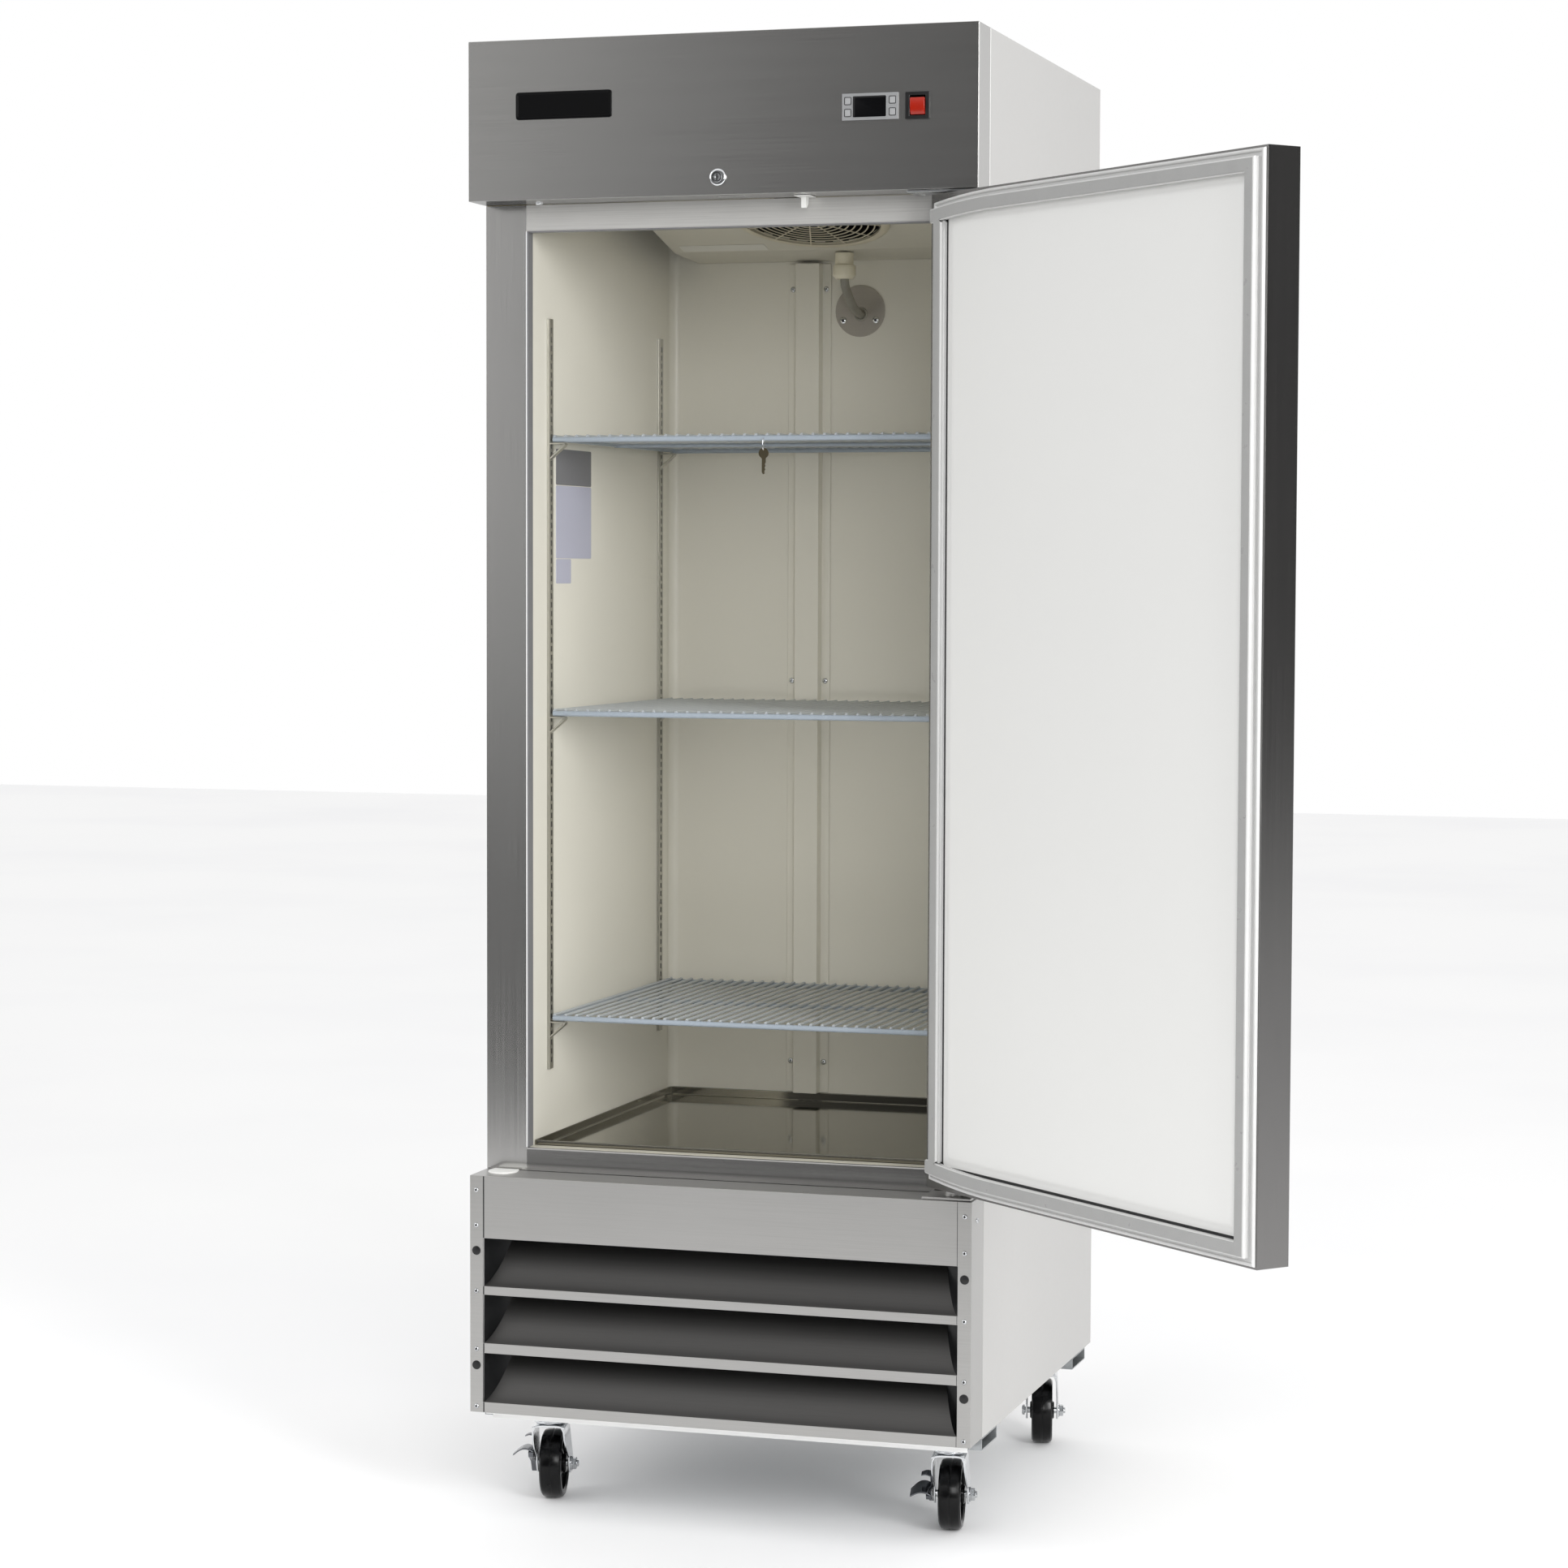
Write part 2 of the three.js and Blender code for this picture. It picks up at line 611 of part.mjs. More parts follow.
const ROCKER_PIVOT = [(SWITCH.x[0] + SWITCH.x[1]) / 2, 6, (SWITCH.z[0] + SWITCH.z[1]) / 2];
const ROCKER_TILT = THREE.MathUtils.degToRad(7);
const rockerShape = barAlongX([
  [10, 1976],
  [10, 1985],
  [-2, 1992.5],
  [-4, 1987],
  [-4.6, 1980.5],
  [-4, 1974],
  [-2, 1968.5],
], inset(SWITCH.x, 6.6));
part(model, "switch_rocker", turnedBy(rockerShape, "x", ROCKER_TILT, ROCKER_PIVOT), "red");

// Cam lock: barrel through the panel, plug with keyway and cam.
const lockBarrel = turned([
  [6.3, -4],
  [LOCK_R - 2, -4],
  [LOCK_R, -2.5],
  [LOCK_R, -GAP],
  [9, -GAP],
  [9, 20],
  [6.3, 20],
  [6.3, -4],
], "y", [0, 0, LOCK_Z], 24);
part(model, "lock_barrel", lockBarrel, "chrome");

const CAM_LENGTH = 33;
const lockPlug = cut(
  join(
    rod(6, "y", [0, 0, LOCK_Z], [-4.6, 25], 16),
    box([-6, CAM_LENGTH], [22, 25], [LOCK_Z - 6, LOCK_Z + 6]),
  ),
  box([-3, 3], [-6, -2.6], [LOCK_Z - 0.8, LOCK_Z + 0.8]),
);
part(model, "lock_plug", lockPlug, "chrome");

// Door switch: plate and well in the soffit, and the plunger that the door lifts.
const PLUNGER = { x: [109, 116], y: [34, 48], bottom: 1850.5, travel: 15.9 };
const plungerWell = box(
  inset(PLUNGER.x, -0.4),
  inset(PLUNGER.y, -0.4),
  [SOFFIT_Z - 5, 1899],
);
const doorSwitch = cut(
  join(
    box(DOOR_SWITCH.x, DOOR_SWITCH.y, [SOFFIT_Z - 1.7, SOFFIT_Z - GAP]),
    box(inset(DOOR_SWITCH.x, 4), inset(DOOR_SWITCH.y, 4), [SOFFIT_Z - 1, 1900]),
  ),
  plungerWell,
);
part(model, "door_switch_housing", doorSwitch, "white");

const plungerLow = PLUNGER.bottom;
const plunger = barAlongX([
  [PLUNGER.y[0], plungerLow + 1],
  [PLUNGER.y[0] + 1, plungerLow],
  [PLUNGER.y[0] + 5, plungerLow],
  [PLUNGER.y[1] - 1.5, plungerLow + 6],
  [PLUNGER.y[1], plungerLow + 12],
  [PLUNGER.y[1], plungerLow + 28],
  [PLUNGER.y[0], plungerLow + 28],
], PLUNGER.x);
part(model, "door_switch_plunger", plunger, "white");

// Hinge brackets: the top one hangs its pin down, the bottom one stands on the base ledge.
const BRACKET_Y = [4, 58];
const topBracketZ = SOFFIT_Z - GAP;
const hingeTop = join(
  box([268, 366], BRACKET_Y, [topBracketZ - 3, topBracketZ]),
  rod(PIN_R, "z", [PIN_X, PIN_Y, 0], [DOOR_TOP_Z - 26, topBracketZ - 1], 20),
);
part(model, "hinge_top", hingeTop, "galvanised");

const hingeBottom = join(
  box([296, 366], BRACKET_Y, [LEDGE_Z + GAP, LEDGE_Z + 4]),
  rod(11, "z", [PIN_X, PIN_Y, 0], [LEDGE_Z + 2, DOOR_BOTTOM_Z - GAP], 20),
  rod(PIN_R, "z", [PIN_X, PIN_Y, 0], [LEDGE_Z + 2, DOOR_BOTTOM_Z + 26], 20),
);
part(model, "hinge_bottom", hingeBottom, "galvanised");

// Door ---------------------------------------------------------------------------------------

const door = new THREE.Group();
door.position.set(PIN_X, PIN_Y, 0);
door.rotation.z = THREE.MathUtils.degToRad(DOOR_OPEN_DEG);
model.add(door);

function doorPart(name, piece, finish) {
  part(door, name, moved(piece, [-PIN_X, -PIN_Y, 0]), finish);
}

const HANDLE = { x: [-342, -288], z: [1105, 1295], depth: 26 };
const FLANGE = 33;
const doorX = [DOOR_FREE_X, DOOR_HINGE_X];
const doorZ = [DOOR_BOTTOM_Z, DOOR_TOP_Z];
const strikeSlot = box([-14, 14], [16, 34], [DOOR_TOP_Z - 5, DOOR_TOP_Z + 5]);

const doorShell = cut(
  box(doorX, [DOOR_FRONT_Y, DOOR_BACK_Y], doorZ),
  box(inset(doorX, SKIN), [DOOR_FRONT_Y + SKIN, DOOR_BACK_Y - SKIN], inset(doorZ, SKIN)),
  box(inset(doorX, FLANGE), [DOOR_FRONT_Y + SKIN, DOOR_BACK_Y + 5], inset(doorZ, FLANGE)),
  box(HANDLE.x, [-5, 5], HANDLE.z),
  strikeSlot,
  rod(PIN_R + 0.6, "z", [PIN_X, PIN_Y, 0], [0, HEIGHT], 20),
);
doorPart("door_shell", doorShell, "stainless");

const coreX = [DOOR_FREE_X + SKIN + GAP, PIN_X - 14];
const doorCore = cut(
  box(coreX, [DOOR_FRONT_Y + SKIN + GAP, DOOR_BACK_Y - SKIN - GAP], inset(doorZ, SKIN + GAP)),
  box(inset(HANDLE.x, -2), [0, HANDLE.depth + 2], inset(HANDLE.z, -2)),
  box([-18, 18], [12, 38], [DOOR_TOP_Z - 16, DOOR_TOP_Z + 5]),
);
doorPart("door_core", doorCore, "foam");

const doorLiner = box(
  inset(doorX, FLANGE + GAP),
  [DOOR_BACK_Y - SKIN, DOOR_BACK_Y],
  inset(doorZ, FLANGE + GAP),
);
doorPart("door_liner", doorLiner, "white");

const gasketX = [DOOR_FREE_X + GASKET_INSET, DOOR_HINGE_X - GASKET_HINGE_INSET];
const gasketZ = inset(doorZ, GASKET_INSET);
const gasket = cut(
  box(gasketX, [DOOR_BACK_Y + GAP, GASKET_Y], gasketZ),
  box(inset(gasketX, GASKET_WIDTH), [DOOR_BACK_Y - 5, GASKET_Y + 5], inset(gasketZ, GASKET_WIDTH)),
);
doorPart("door_gasket", gasket, "rubber");

const handleCup = cut(
  join(
    box(inset(HANDLE.x, -5), [0, DOOR_FRONT_Y - GAP], inset(HANDLE.z, -5)),
    box(inset(HANDLE.x, GAP), [0, HANDLE.depth], inset(HANDLE.z, GAP)),
  ),
  box(inset(HANDLE.x, 2), [-5, HANDLE.depth - 1.5], inset(HANDLE.z, 2)),
);
doorPart("door_handle", handleCup, "black");

// Base: grille with louvres, chassis, refrigeration unit ---------------------------------------

const BLADE_BACK_Y = 46;

function louvreBlade([bottom, top]) {
  const tip = top - 10;
  const outline = [
    [0, bottom - 1.4],
    [0, bottom],
    [BLADE_BACK_Y, tip],
    [BLADE_BACK_Y, tip - 1.4],
  ];
  return barAlongX(outline, [-HALF + 1, HALF - 1]);
}

const baseFront = cut(
  box([-HALF, HALF], [0, FACE_Y], [SKIRT_Z, LEDGE_Z]),
  box([-HALF + SKIN, HALF - SKIN], [SKIN, FACE_Y + 5], [SKIRT_Z - 5, LEDGE_Z - SKIN]),
  ...LOUVRE_Z.map((span) => box([-HALF + POST_WIDTH, HALF - POST_WIDTH], [-5, 5], span)),
);
part(model, "base_grille", join(baseFront, ...LOUVRE_Z.map(louvreBlade)), "stainless");

// Chassis: floor tray on two hollow cross rails, open at both ends.
const RAIL_WALL = 1.5;
const TRAY_Z = SKIRT_Z + SKIN + GAP;

function crossRail(shift) {
  const y = RAIL_Y.map((edge) => edge + shift);
  const z = [RAIL_BOTTOM_Z, SKIRT_Z - GAP];
  return cut(
    box([-HALF, HALF], y, z),
    box([-HALF - 5, HALF + 5], inset(y, RAIL_WALL), inset(z, RAIL_WALL)),
  );
}

const tray = box([-CASE_X, CASE_X], [FACE_Y + 5, DEPTH - 5], [TRAY_Z, TRAY_Z + 1.5]);
const railPads = [0, REAR_RAIL_SHIFT].map((shift) => box(
  [-HALF + 40, HALF - 40],
  [RAIL_Y[0] + shift + 10, RAIL_Y[1] + shift],
  [SKIRT_Z - 1, TRAY_Z + 1],
));
const frontLip = box([-358, 358], [30, RAIL_Y[0] + 1], [SKIRT_Z - 10, SKIRT_Z - 8.5]);
const lipFace = box([-358, 358], [30, 31.5], [SKIRT_Z - 10, SKIRT_Z - 1]);
const chassis = join(tray, crossRail(0), crossRail(REAR_RAIL_SHIFT), ...railPads, frontLip, lipFace);
part(model, "chassis", chassis, "galvanised");

const unitFloor = TRAY_Z + 1.5 + GAP;
const compressor = join(
  turned([
    [0, unitFloor + 14],
    [78, unitFloor + 14],
    [88, unitFloor + 40],
    [88, unitFloor + 130],
    [76, unitFloor + 165],
    [40, unitFloor + 185],
    [0, unitFloor + 190],
  ], "z", [90, 500, 0], 20),
  box([0, 180], [425, 575], [unitFloor + 10, unitFloor + 15]),
  ...[[12, 437], [168, 437], [12, 563], [168, 563]]
    .map(([x, y]) => rod(10, "z", [x, y, 0], [unitFloor, unitFloor + 12], 10)),
  rod(8, "x", [0, 500, unitFloor + 110], [-10, 30], 10),
);
part(model, "compressor", compressor, "compressor");

const CONDENSER = { x: [-190, 190], y: [90, 140], z: [unitFloor, 470] };
const COND_FAN = { y: 172, z: 312, r: 118 };
const condenserStrap = [-1, 1].map((side) => box(
  [side * 150 - 2, side * 150 + 2],
  [CONDENSER.y[1] - 4, COND_FAN.y + 46],
  [COND_FAN.z - 10, COND_FAN.z + 10],
));
const condenserCoil = join(
  finnedCoil(CONDENSER.x, CONDENSER.y, CONDENSER.z, 20, 14),
  ...condenserStrap,
  box([-152, 152], [COND_FAN.y + 43, COND_FAN.y + 46], [COND_FAN.z - 10, COND_FAN.z + 10]),
  rod(34, "y", [0, COND_FAN.y, COND_FAN.z], [14, 60], 16),
);
part(model, "condenser_coil", condenserCoil, "coil");

const condenserFan = moved(
  turnedBy(fanRotor(COND_FAN.r, 24, 20, 5), "x", Math.PI / 2, [0, 0, 0]),
  [0, COND_FAN.y, COND_FAN.z],
);
part(model, "condenser_fan", condenserFan, "black");

// Casters ------------------------------------------------------------------------------------

const LEG_X = 22;
const LEG_T = 3;
const FORK_TOP_Z = 116;
const CROWN_Y = [-24, 27];
const axle = [0, CASTER_TRAIL, WHEEL_R];

// Fork leg seen from the side: wide at the crown, round at the axle.
function forkLeg(x0) {
  const foot = Array.from({ length: 5 }, (_, i) => {
    const angle = THREE.MathUtils.degToRad(200 + i * 48);
    return [axle[1] + 13 * Math.cos(angle), axle[2] + 13 * Math.sin(angle)];
  });
  const front = [[CROWN_Y[0], FORK_TOP_Z], [CROWN_Y[0], FORK_TOP_Z - 12]];
  const back = [[CROWN_Y[1] + 3, FORK_TOP_Z - 10], [CROWN_Y[1], FORK_TOP_Z]];
  const outline = [...front, ...foot, ...back];
  return barAlongX(outline, [x0, x0 + LEG_T]);
}

function casterFork() {
  const plateTop = RAIL_BOTTOM_Z - GAP;
  return join(
    box([-38, 38], [-34, 34], [plateTop - 3.5, plateTop]),
    rod(27, "z", [0, 0, 0], [FORK_TOP_Z - 1, plateTop - 2], 16),
    box([-LEG_X - LEG_T, LEG_X + LEG_T], CROWN_Y, [FORK_TOP_Z - 3, FORK_TOP_Z]),
    forkLeg(-LEG_X - LEG_T),
    forkLeg(LEG_X),
    rod(5, "x", axle, [-LEG_X - 9, LEG_X + 9], 12),
    rod(9, "x", axle, [LEG_X + 1, LEG_X + 9], 6),
  );
}

// Tyre and spoked hub with a running bore; one flat of the tread stands on the floor.
function casterWheel() {
  const sides = 20;
  const rim = WHEEL_R / Math.cos(Math.PI / sides);
  const half = WHEEL_WIDTH / 2;
  const profile = [
    [5.2, -half - 3],
    [14, -half - 3],
    [16, -5],
    [37, -5],
    [39, -half],
    [rim - 5, -half],
    [rim, -half + 6],
    [rim, half - 6],
    [rim - 5, half],
    [39, half],
    [37, 5],
    [16, 5],
    [14, half + 3],
    [5.2, half + 3],
    [5.2, -half - 3],
  ];
  const round = turned(profile, "x", [0, 0, 0], sides);
  return moved(turnedBy(round, "x", Math.PI / sides, [0, 0, 0]), axle);
}

// Brake: side plate hung on the axle, with a foot pedal bent outward.
function brakeLever(angle) {
  const x0 = -LEG_X - LEG_T - GAP;
  const side = barAlongX([
    [14, 42],
    [46, 38],
    [50, 52],
    [30, 70],
    [4, 74],
    [4, 64],
  ], [x0 - 2.5, x0]);
  const pedal = box([x0 - 30, x0], [0, 26], [71, 73.5]);
  const hole = rod(6, "x", axle, [-80, 0], 12);
  return turnedBy(cut(join(side, pedal), hole), "x", THREE.MathUtils.degToRad(angle), axle);
}

for (const caster of CASTERS) {
  const group = new THREE.Group();
  group.position.set(caster.x, caster.y, 0);
  group.rotation.z = THREE.MathUtils.degToRad(caster.heading);
  model.add(group);
  part(group, `caster_fork_${caster.name}`, casterFork(), "chrome");
  part(group, `caster_wheel_${caster.name}`, casterWheel(), "wheel");
  if (caster.brake !== undefined) {
    part(group, `brake_lever_${caster.name}`, brakeLever(caster.brake), "chrome");
  }
}

export default model;
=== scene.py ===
import json
import math

import bmesh
import bpy
from mathutils import Matrix, Vector

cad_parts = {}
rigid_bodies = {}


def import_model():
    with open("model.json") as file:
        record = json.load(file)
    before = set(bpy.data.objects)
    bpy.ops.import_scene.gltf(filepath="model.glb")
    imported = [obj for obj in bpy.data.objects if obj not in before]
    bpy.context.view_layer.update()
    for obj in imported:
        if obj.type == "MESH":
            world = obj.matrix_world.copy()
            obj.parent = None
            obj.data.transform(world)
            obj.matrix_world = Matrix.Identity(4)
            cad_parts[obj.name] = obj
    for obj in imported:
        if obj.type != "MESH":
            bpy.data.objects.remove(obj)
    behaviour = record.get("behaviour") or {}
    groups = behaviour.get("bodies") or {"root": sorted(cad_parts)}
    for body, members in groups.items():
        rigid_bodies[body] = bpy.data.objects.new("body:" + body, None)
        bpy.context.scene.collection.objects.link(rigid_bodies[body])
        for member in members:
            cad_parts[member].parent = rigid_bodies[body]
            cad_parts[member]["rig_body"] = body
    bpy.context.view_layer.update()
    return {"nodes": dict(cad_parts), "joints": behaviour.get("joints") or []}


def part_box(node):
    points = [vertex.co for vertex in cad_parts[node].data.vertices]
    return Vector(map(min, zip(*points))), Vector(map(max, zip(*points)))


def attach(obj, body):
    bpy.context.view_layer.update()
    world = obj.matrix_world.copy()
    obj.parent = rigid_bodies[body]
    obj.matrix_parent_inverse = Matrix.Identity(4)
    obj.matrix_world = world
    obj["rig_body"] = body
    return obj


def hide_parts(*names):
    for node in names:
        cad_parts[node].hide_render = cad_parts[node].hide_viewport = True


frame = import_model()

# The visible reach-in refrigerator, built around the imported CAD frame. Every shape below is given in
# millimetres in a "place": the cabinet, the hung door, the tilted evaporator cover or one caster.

MM = 0.001

# Camera ----

CAMERA_AT = (1.383, -5.0897, 1.351)
CAMERA_YAW = -17.28
CAMERA_PITCH = -3.229
CAMERA_ROLL = 0.187
CAMERA_LENS = 86.33


def make_camera():
    yaw, pitch, roll = (math.radians(a) for a in (CAMERA_YAW, CAMERA_PITCH, CAMERA_ROLL))
    forward = Vector((
        math.sin(yaw) * math.cos(pitch),
        math.cos(yaw) * math.cos(pitch),
        math.sin(pitch),
    ))
    level = Vector((math.cos(yaw), -math.sin(yaw), 0))
    right = math.cos(roll) * level + math.sin(roll) * level.cross(forward)
    turn = Matrix((right, right.cross(forward), -forward)).transposed().to_4x4()
    data = bpy.data.cameras.new("camera")
    data.lens = CAMERA_LENS
    data.sensor_width = 36
    data.clip_end = 100
    camera = bpy.data.objects.new("camera", data)
    camera.matrix_world = Matrix.Translation(CAMERA_AT) @ turn
    bpy.context.scene.collection.objects.link(camera)
    bpy.context.scene.camera = camera


make_camera()

# Places ----

nodes = frame["nodes"]
joints = {joint["name"]: joint for joint in frame["joints"]}
header_low, header_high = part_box("header_panel")
MIDDLE_X = (header_low.x + header_high.x) / 2
CABINET = Matrix.Translation((MIDDLE_X, header_low.y, 0)) @ Matrix.Scale(MM, 4)


def turned_about(point, axis, degrees):
    point = Vector(point)
    turn = Matrix.Rotation(math.radians(degrees), 4, Vector(axis))
    return Matrix.Translation(point) @ turn @ Matrix.Translation(-point)


def at_low_limit(joint):
    """Undoes a joint's turn from its low limit to rest."""
    return turned_about(joint["pos_m"], joint["axis"], -joint["range_deg"][0])


DOOR = at_low_limit(joints["door_swing"]) @ CABINET

guard_low, guard_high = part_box("fan_guard")
fan_axis = Vector(joints["evaporator_fan_spin"]["axis"])
fan_across = Vector((1, 0, 0))
COVER = (
    Matrix.Translation((guard_low + guard_high) / 2)
    @ Matrix((fan_across, fan_axis.cross(fan_across), fan_axis)).transposed().to_4x4()
    @ Matrix.Scale(MM, 4)
)


def caster_place(corner):
    """Local X is the axle and the swivel stands at the origin, on the floor."""
    x, y, _ = joints["swivel_" + corner]["pos_m"]
    axle = joints["roll_" + corner]["axis"]
    heading = math.atan2(axle[1], axle[0])
    return Matrix.Translation((x, y, 0)) @ Matrix.Rotation(heading, 4, "Z") @ Matrix.Scale(MM, 4)


def span(node, place=CABINET):
    """((x low, x high), (y ...), (z ...)) of a CAD node in a place's millimetres."""
    back = place.inverted()
    corners = [back @ vertex.co for vertex in nodes[node].data.vertices]
    return tuple((min(c[i] for c in corners), max(c[i] for c in corners)) for i in range(3))


# Materials ----

NOISE_ROUGHNESS = 0.55


def add_node(tree, kind, values=None, **settings):
    """A shader node with its settings. Each input takes a plain value or another node's socket."""
    node = tree.nodes.new(kind)
    for name, value in settings.items():
        setattr(node, name, value)
    for name, value in (values or {}).items():
        if isinstance(value, bpy.types.NodeSocket):
            tree.links.new(value, node.inputs[name])
        else:
            node.inputs[name].default_value = value
    return node


def linear(colour, factor=1):
    """Linear RGBA of an 8-bit sRGB colour, made lighter or darker by a factor."""
    parts = (value / 255 for value in colour)
    parts = (v / 12.92 if v <= 0.04045 else ((v + 0.055) / 1.055) ** 2.4 for v in parts)
    return tuple(min(1, v * factor) for v in parts) + (1,)


class Finish:
    """A node material whose colour, roughness and bump vary with noise fixed to the object."""

    def __init__(self, name, colour, roughness, metallic=0.0):
        self.material = bpy.data.materials.new(name)
        self.material.use_nodes = True
        self.tree = self.material.node_tree
        self.shader = self.tree.nodes["Principled BSDF"].inputs
        self.shader["Metallic"].default_value = metallic
        self.shader["Roughness"].default_value = roughness
        self.roughness = roughness
        self.plain = colour
        self.colour = linear(colour)
        self.place = self.add("ShaderNodeTexCoord").outputs["Object"]

    def add(self, kind, values=None, **settings):
        return add_node(self.tree, kind, values, **settings)

    def noise(self, scale, detail=3.0, stretch=(1, 1, 1)):
        place = self.add("ShaderNodeMapping", {"Vector": self.place, "Scale": stretch}).outputs[0]
        values = {"Vector": place, "Scale": scale, "Detail": detail, "Roughness": NOISE_ROUGHNESS}
        return self.add("ShaderNodeTexNoise", values).outputs[0]

    def cells(self, scale):
        return self.add("ShaderNodeTexVoronoi", {"Vector": self.place, "Scale": scale}).outputs

    def ramp(self, source, low, high, to_low, to_high):
        values = {"Value": source, "From Min": low, "From Max": high, "To Min": to_low, "To Max": to_high}
        return self.add("ShaderNodeMapRange", values).outputs[0]

    def tint(self, source, factor, low, high, most=1.0):
        """Where the pattern is high, the colour nears its plain one times a factor, or a given one."""
        other = linear(factor) if isinstance(factor, tuple) else linear(self.plain, factor)
        values = {0: self.ramp(source, low, high, 0, most), 1: self.colour, 2: other}
        self.colour = self.add("ShaderNodeMixRGB", values).outputs[0]

    def rough(self, source, swing, low=0.3, high=0.7):
        value = self.ramp(source, low, high, self.roughness - swing, self.roughness + swing)
        self.tree.links.new(value, self.shader["Roughness"])

    def bump(self, source, strength, depth_mm):
        values = {"Height": source, "Strength": strength, "Distance": depth_mm * MM}
        self.tree.links.new(self.add("ShaderNodeBump", values).outputs[0], self.shader["Normal"])

    def done(self):
        self.tree.links.new(self.colour, self.shader["Base Color"])
        return self.material


def brushed(name, colour, roughness, along, metallic=0.95, contrast=0.07):
    """Sheet metal with fine hairlines along one axis, faint clouds and handling marks."""
    finish = Finish(name, colour, roughness, metallic)
    hairline, streak = (
        finish.noise(scale, 1, tuple(stretch if axis == along else 1 for axis in "xyz"))
        for scale, stretch in ((2400, 0.008), (600, 0.004))
    )
    finish.tint(hairline, 1 - contrast, 0.3, 0.7)
    finish.tint(streak, 1 + contrast * 0.5, 0.35, 0.75, 0.7)
    finish.tint(finish.noise(3, 2), 1.05, 0.4, 0.7, 0.5)
    finish.rough(streak, 0.012)
    finish.bump(hairline, 0.05, 0.03)
    return finish.done()


def painted(name, colour, roughness, metallic=0.0, peel=0.06, soil=0.93, specular=0.5):
    """Painted or coated sheet: orange peel and a trace of uneven tone."""
    finish = Finish(name, colour, roughness, metallic)
    finish.shader["Specular IOR Level"].default_value = specular
    finish.tint(finish.noise(2.5, 1.5), soil, 0.3, 0.75)
    finish.rough(finish.noise(140, 2), 0.015)
    finish.bump(finish.noise(420, 2), peel, 0.08)
    return finish.done()


def moulded(name, colour, roughness, grain=900, bump=0.2, soil=0.85):
    """Moulded plastic or rubber with a fine grain and dust in the low spots."""
    finish = Finish(name, colour, roughness)
    fine = finish.noise(grain, 3)
    finish.tint(finish.noise(40, 4), soil, 0.4, 0.75)
    finish.tint(fine, 1.12, 0.5, 0.8, 0.5)
    finish.rough(finish.noise(60, 3), 0.07)
    finish.bump(fine, bump, 0.1)
    return finish.done()


def plated(name, colour, roughness, soil=0.8):
    """Chrome or zinc plate with smudges and fine rolling marks."""
    finish = Finish(name, colour, roughness, 1.0)
    smudge = finish.noise(45, 5)
    finish.tint(smudge, soil, 0.45, 0.75)
    finish.rough(smudge, 0.06, 0.35, 0.65)
    finish.bump(finish.noise(300, 2), 0.04, 0.06)
    return finish.done()


def spangled(name, colour):
    """Galvanised sheet: crystal flakes of slightly different grey."""
    finish = Finish(name, colour, 0.42, 0.85)
    flake = finish.add("ShaderNodeSeparateColor", {0: finish.cells(130)["Color"]}).outputs
    finish.tint(flake[0], 0.82, 0, 1)
    finish.rough(flake[1], 0.08, 0, 1)
    finish.bump(finish.noise(35, 3), 0.05, 0.3)
    return finish.done()


def foamed(name, colour):
    finish = Finish(name, colour, 0.9)
    pores = finish.cells(600)["Distance"]
    finish.tint(pores, 0.7, 0.2, 0.8)
    finish.bump(pores, 0.6, 0.6)
    return finish.done()


def glossy_tyre(name):
    finish = Finish(name, (9, 9, 10), 0.2)
    finish.tint(finish.noise(25, 5), (22, 22, 21), 0.5, 0.8, 0.5)
    finish.rough(finish.noise(90, 4), 0.08)
    finish.bump(finish.noise(200, 3), 0.05, 0.2)
    finish.shader["Specular IOR Level"].default_value = 0.22
    return finish.done()


STEEL_HEADER = brushed("header_steel", (178, 177, 175), 0.18, "x", 0.95, 0.11)
STEEL_BASE = brushed("base_steel", (177, 176, 174), 0.34, "x", 0.85)
# Louvre blades: the base steel darkened as painted shade inside the openings.
STEEL_BLADE_SHADE = brushed("louvre_steel_painted_shade", (96, 95, 94), 0.34, "x")
STEEL_FRAME = brushed("frame_steel", (198, 197, 195), 0.18, "z", 0.95, 0.11)
STEEL_RAIL = brushed("rail_steel", (209, 208, 205), 0.34, "x", 0.45, 0.16)
# Darker copy of the door's face steel, for the door's edges: painted shade.
STEEL_DOOR_SHADE = brushed("door_edge_steel_painted_shade", (122, 121, 120), 0.2, "z", 0.95, 0.12)
STEEL_DOOR_FACE = brushed("door_face_steel", (176, 175, 173), 0.22, "z", 0.95, 0.11)
SIDE_PAINT = painted("side_panel_metal", (196, 195, 193), 0.42, 0.2, 0.03, 0.985)
ZINC = spangled("galvanised_sheet", (178, 181, 183))
LINER = painted("cream_liner", (234, 231, 219), 0.34, 0, 0.03, 0.985)
COVER_WHITE = painted("evaporator_cover_paint", (206, 202, 188), 0.36, 0, 0.03, 0.98)
DOOR_WHITE = painted("door_liner_white", (225, 225, 223), 0.3, 0, 0.012, 0.995)
# White of the base lip strip, also used for painted highlights on the header and stile edges.
WHITE_STRIP_AND_HIGHLIGHT = painted("white_strip", (244, 244, 243), 0.35, 0, 0.04, 0.97)
BREAKER = painted("breaker_strip", (124, 124, 127), 0.4, 0, 0.04, 0.95)
PAN_STEEL = brushed("floor_pan_steel", (146, 143, 132), 0.08, "x", 1.0, 0.03)
WIRE_COAT = painted("shelf_rod_coating", (158, 168, 178), 0.32, 0.0, 0.1, 0.92)
WIRE_PALE = painted("shelf_wire_coating", (182, 187, 190), 0.32, 0.0, 0.1, 0.92)
CHROME = plated("bright_plate", (226, 228, 230), 0.14, 0.88)
BRAKE_PLATE = plated("brake_plate", (112, 114, 118), 0.16, 0.85)
STRIP_CHROME = brushed("support_plate", (190, 188, 180), 0.3, "z", 0.92, 0.06)
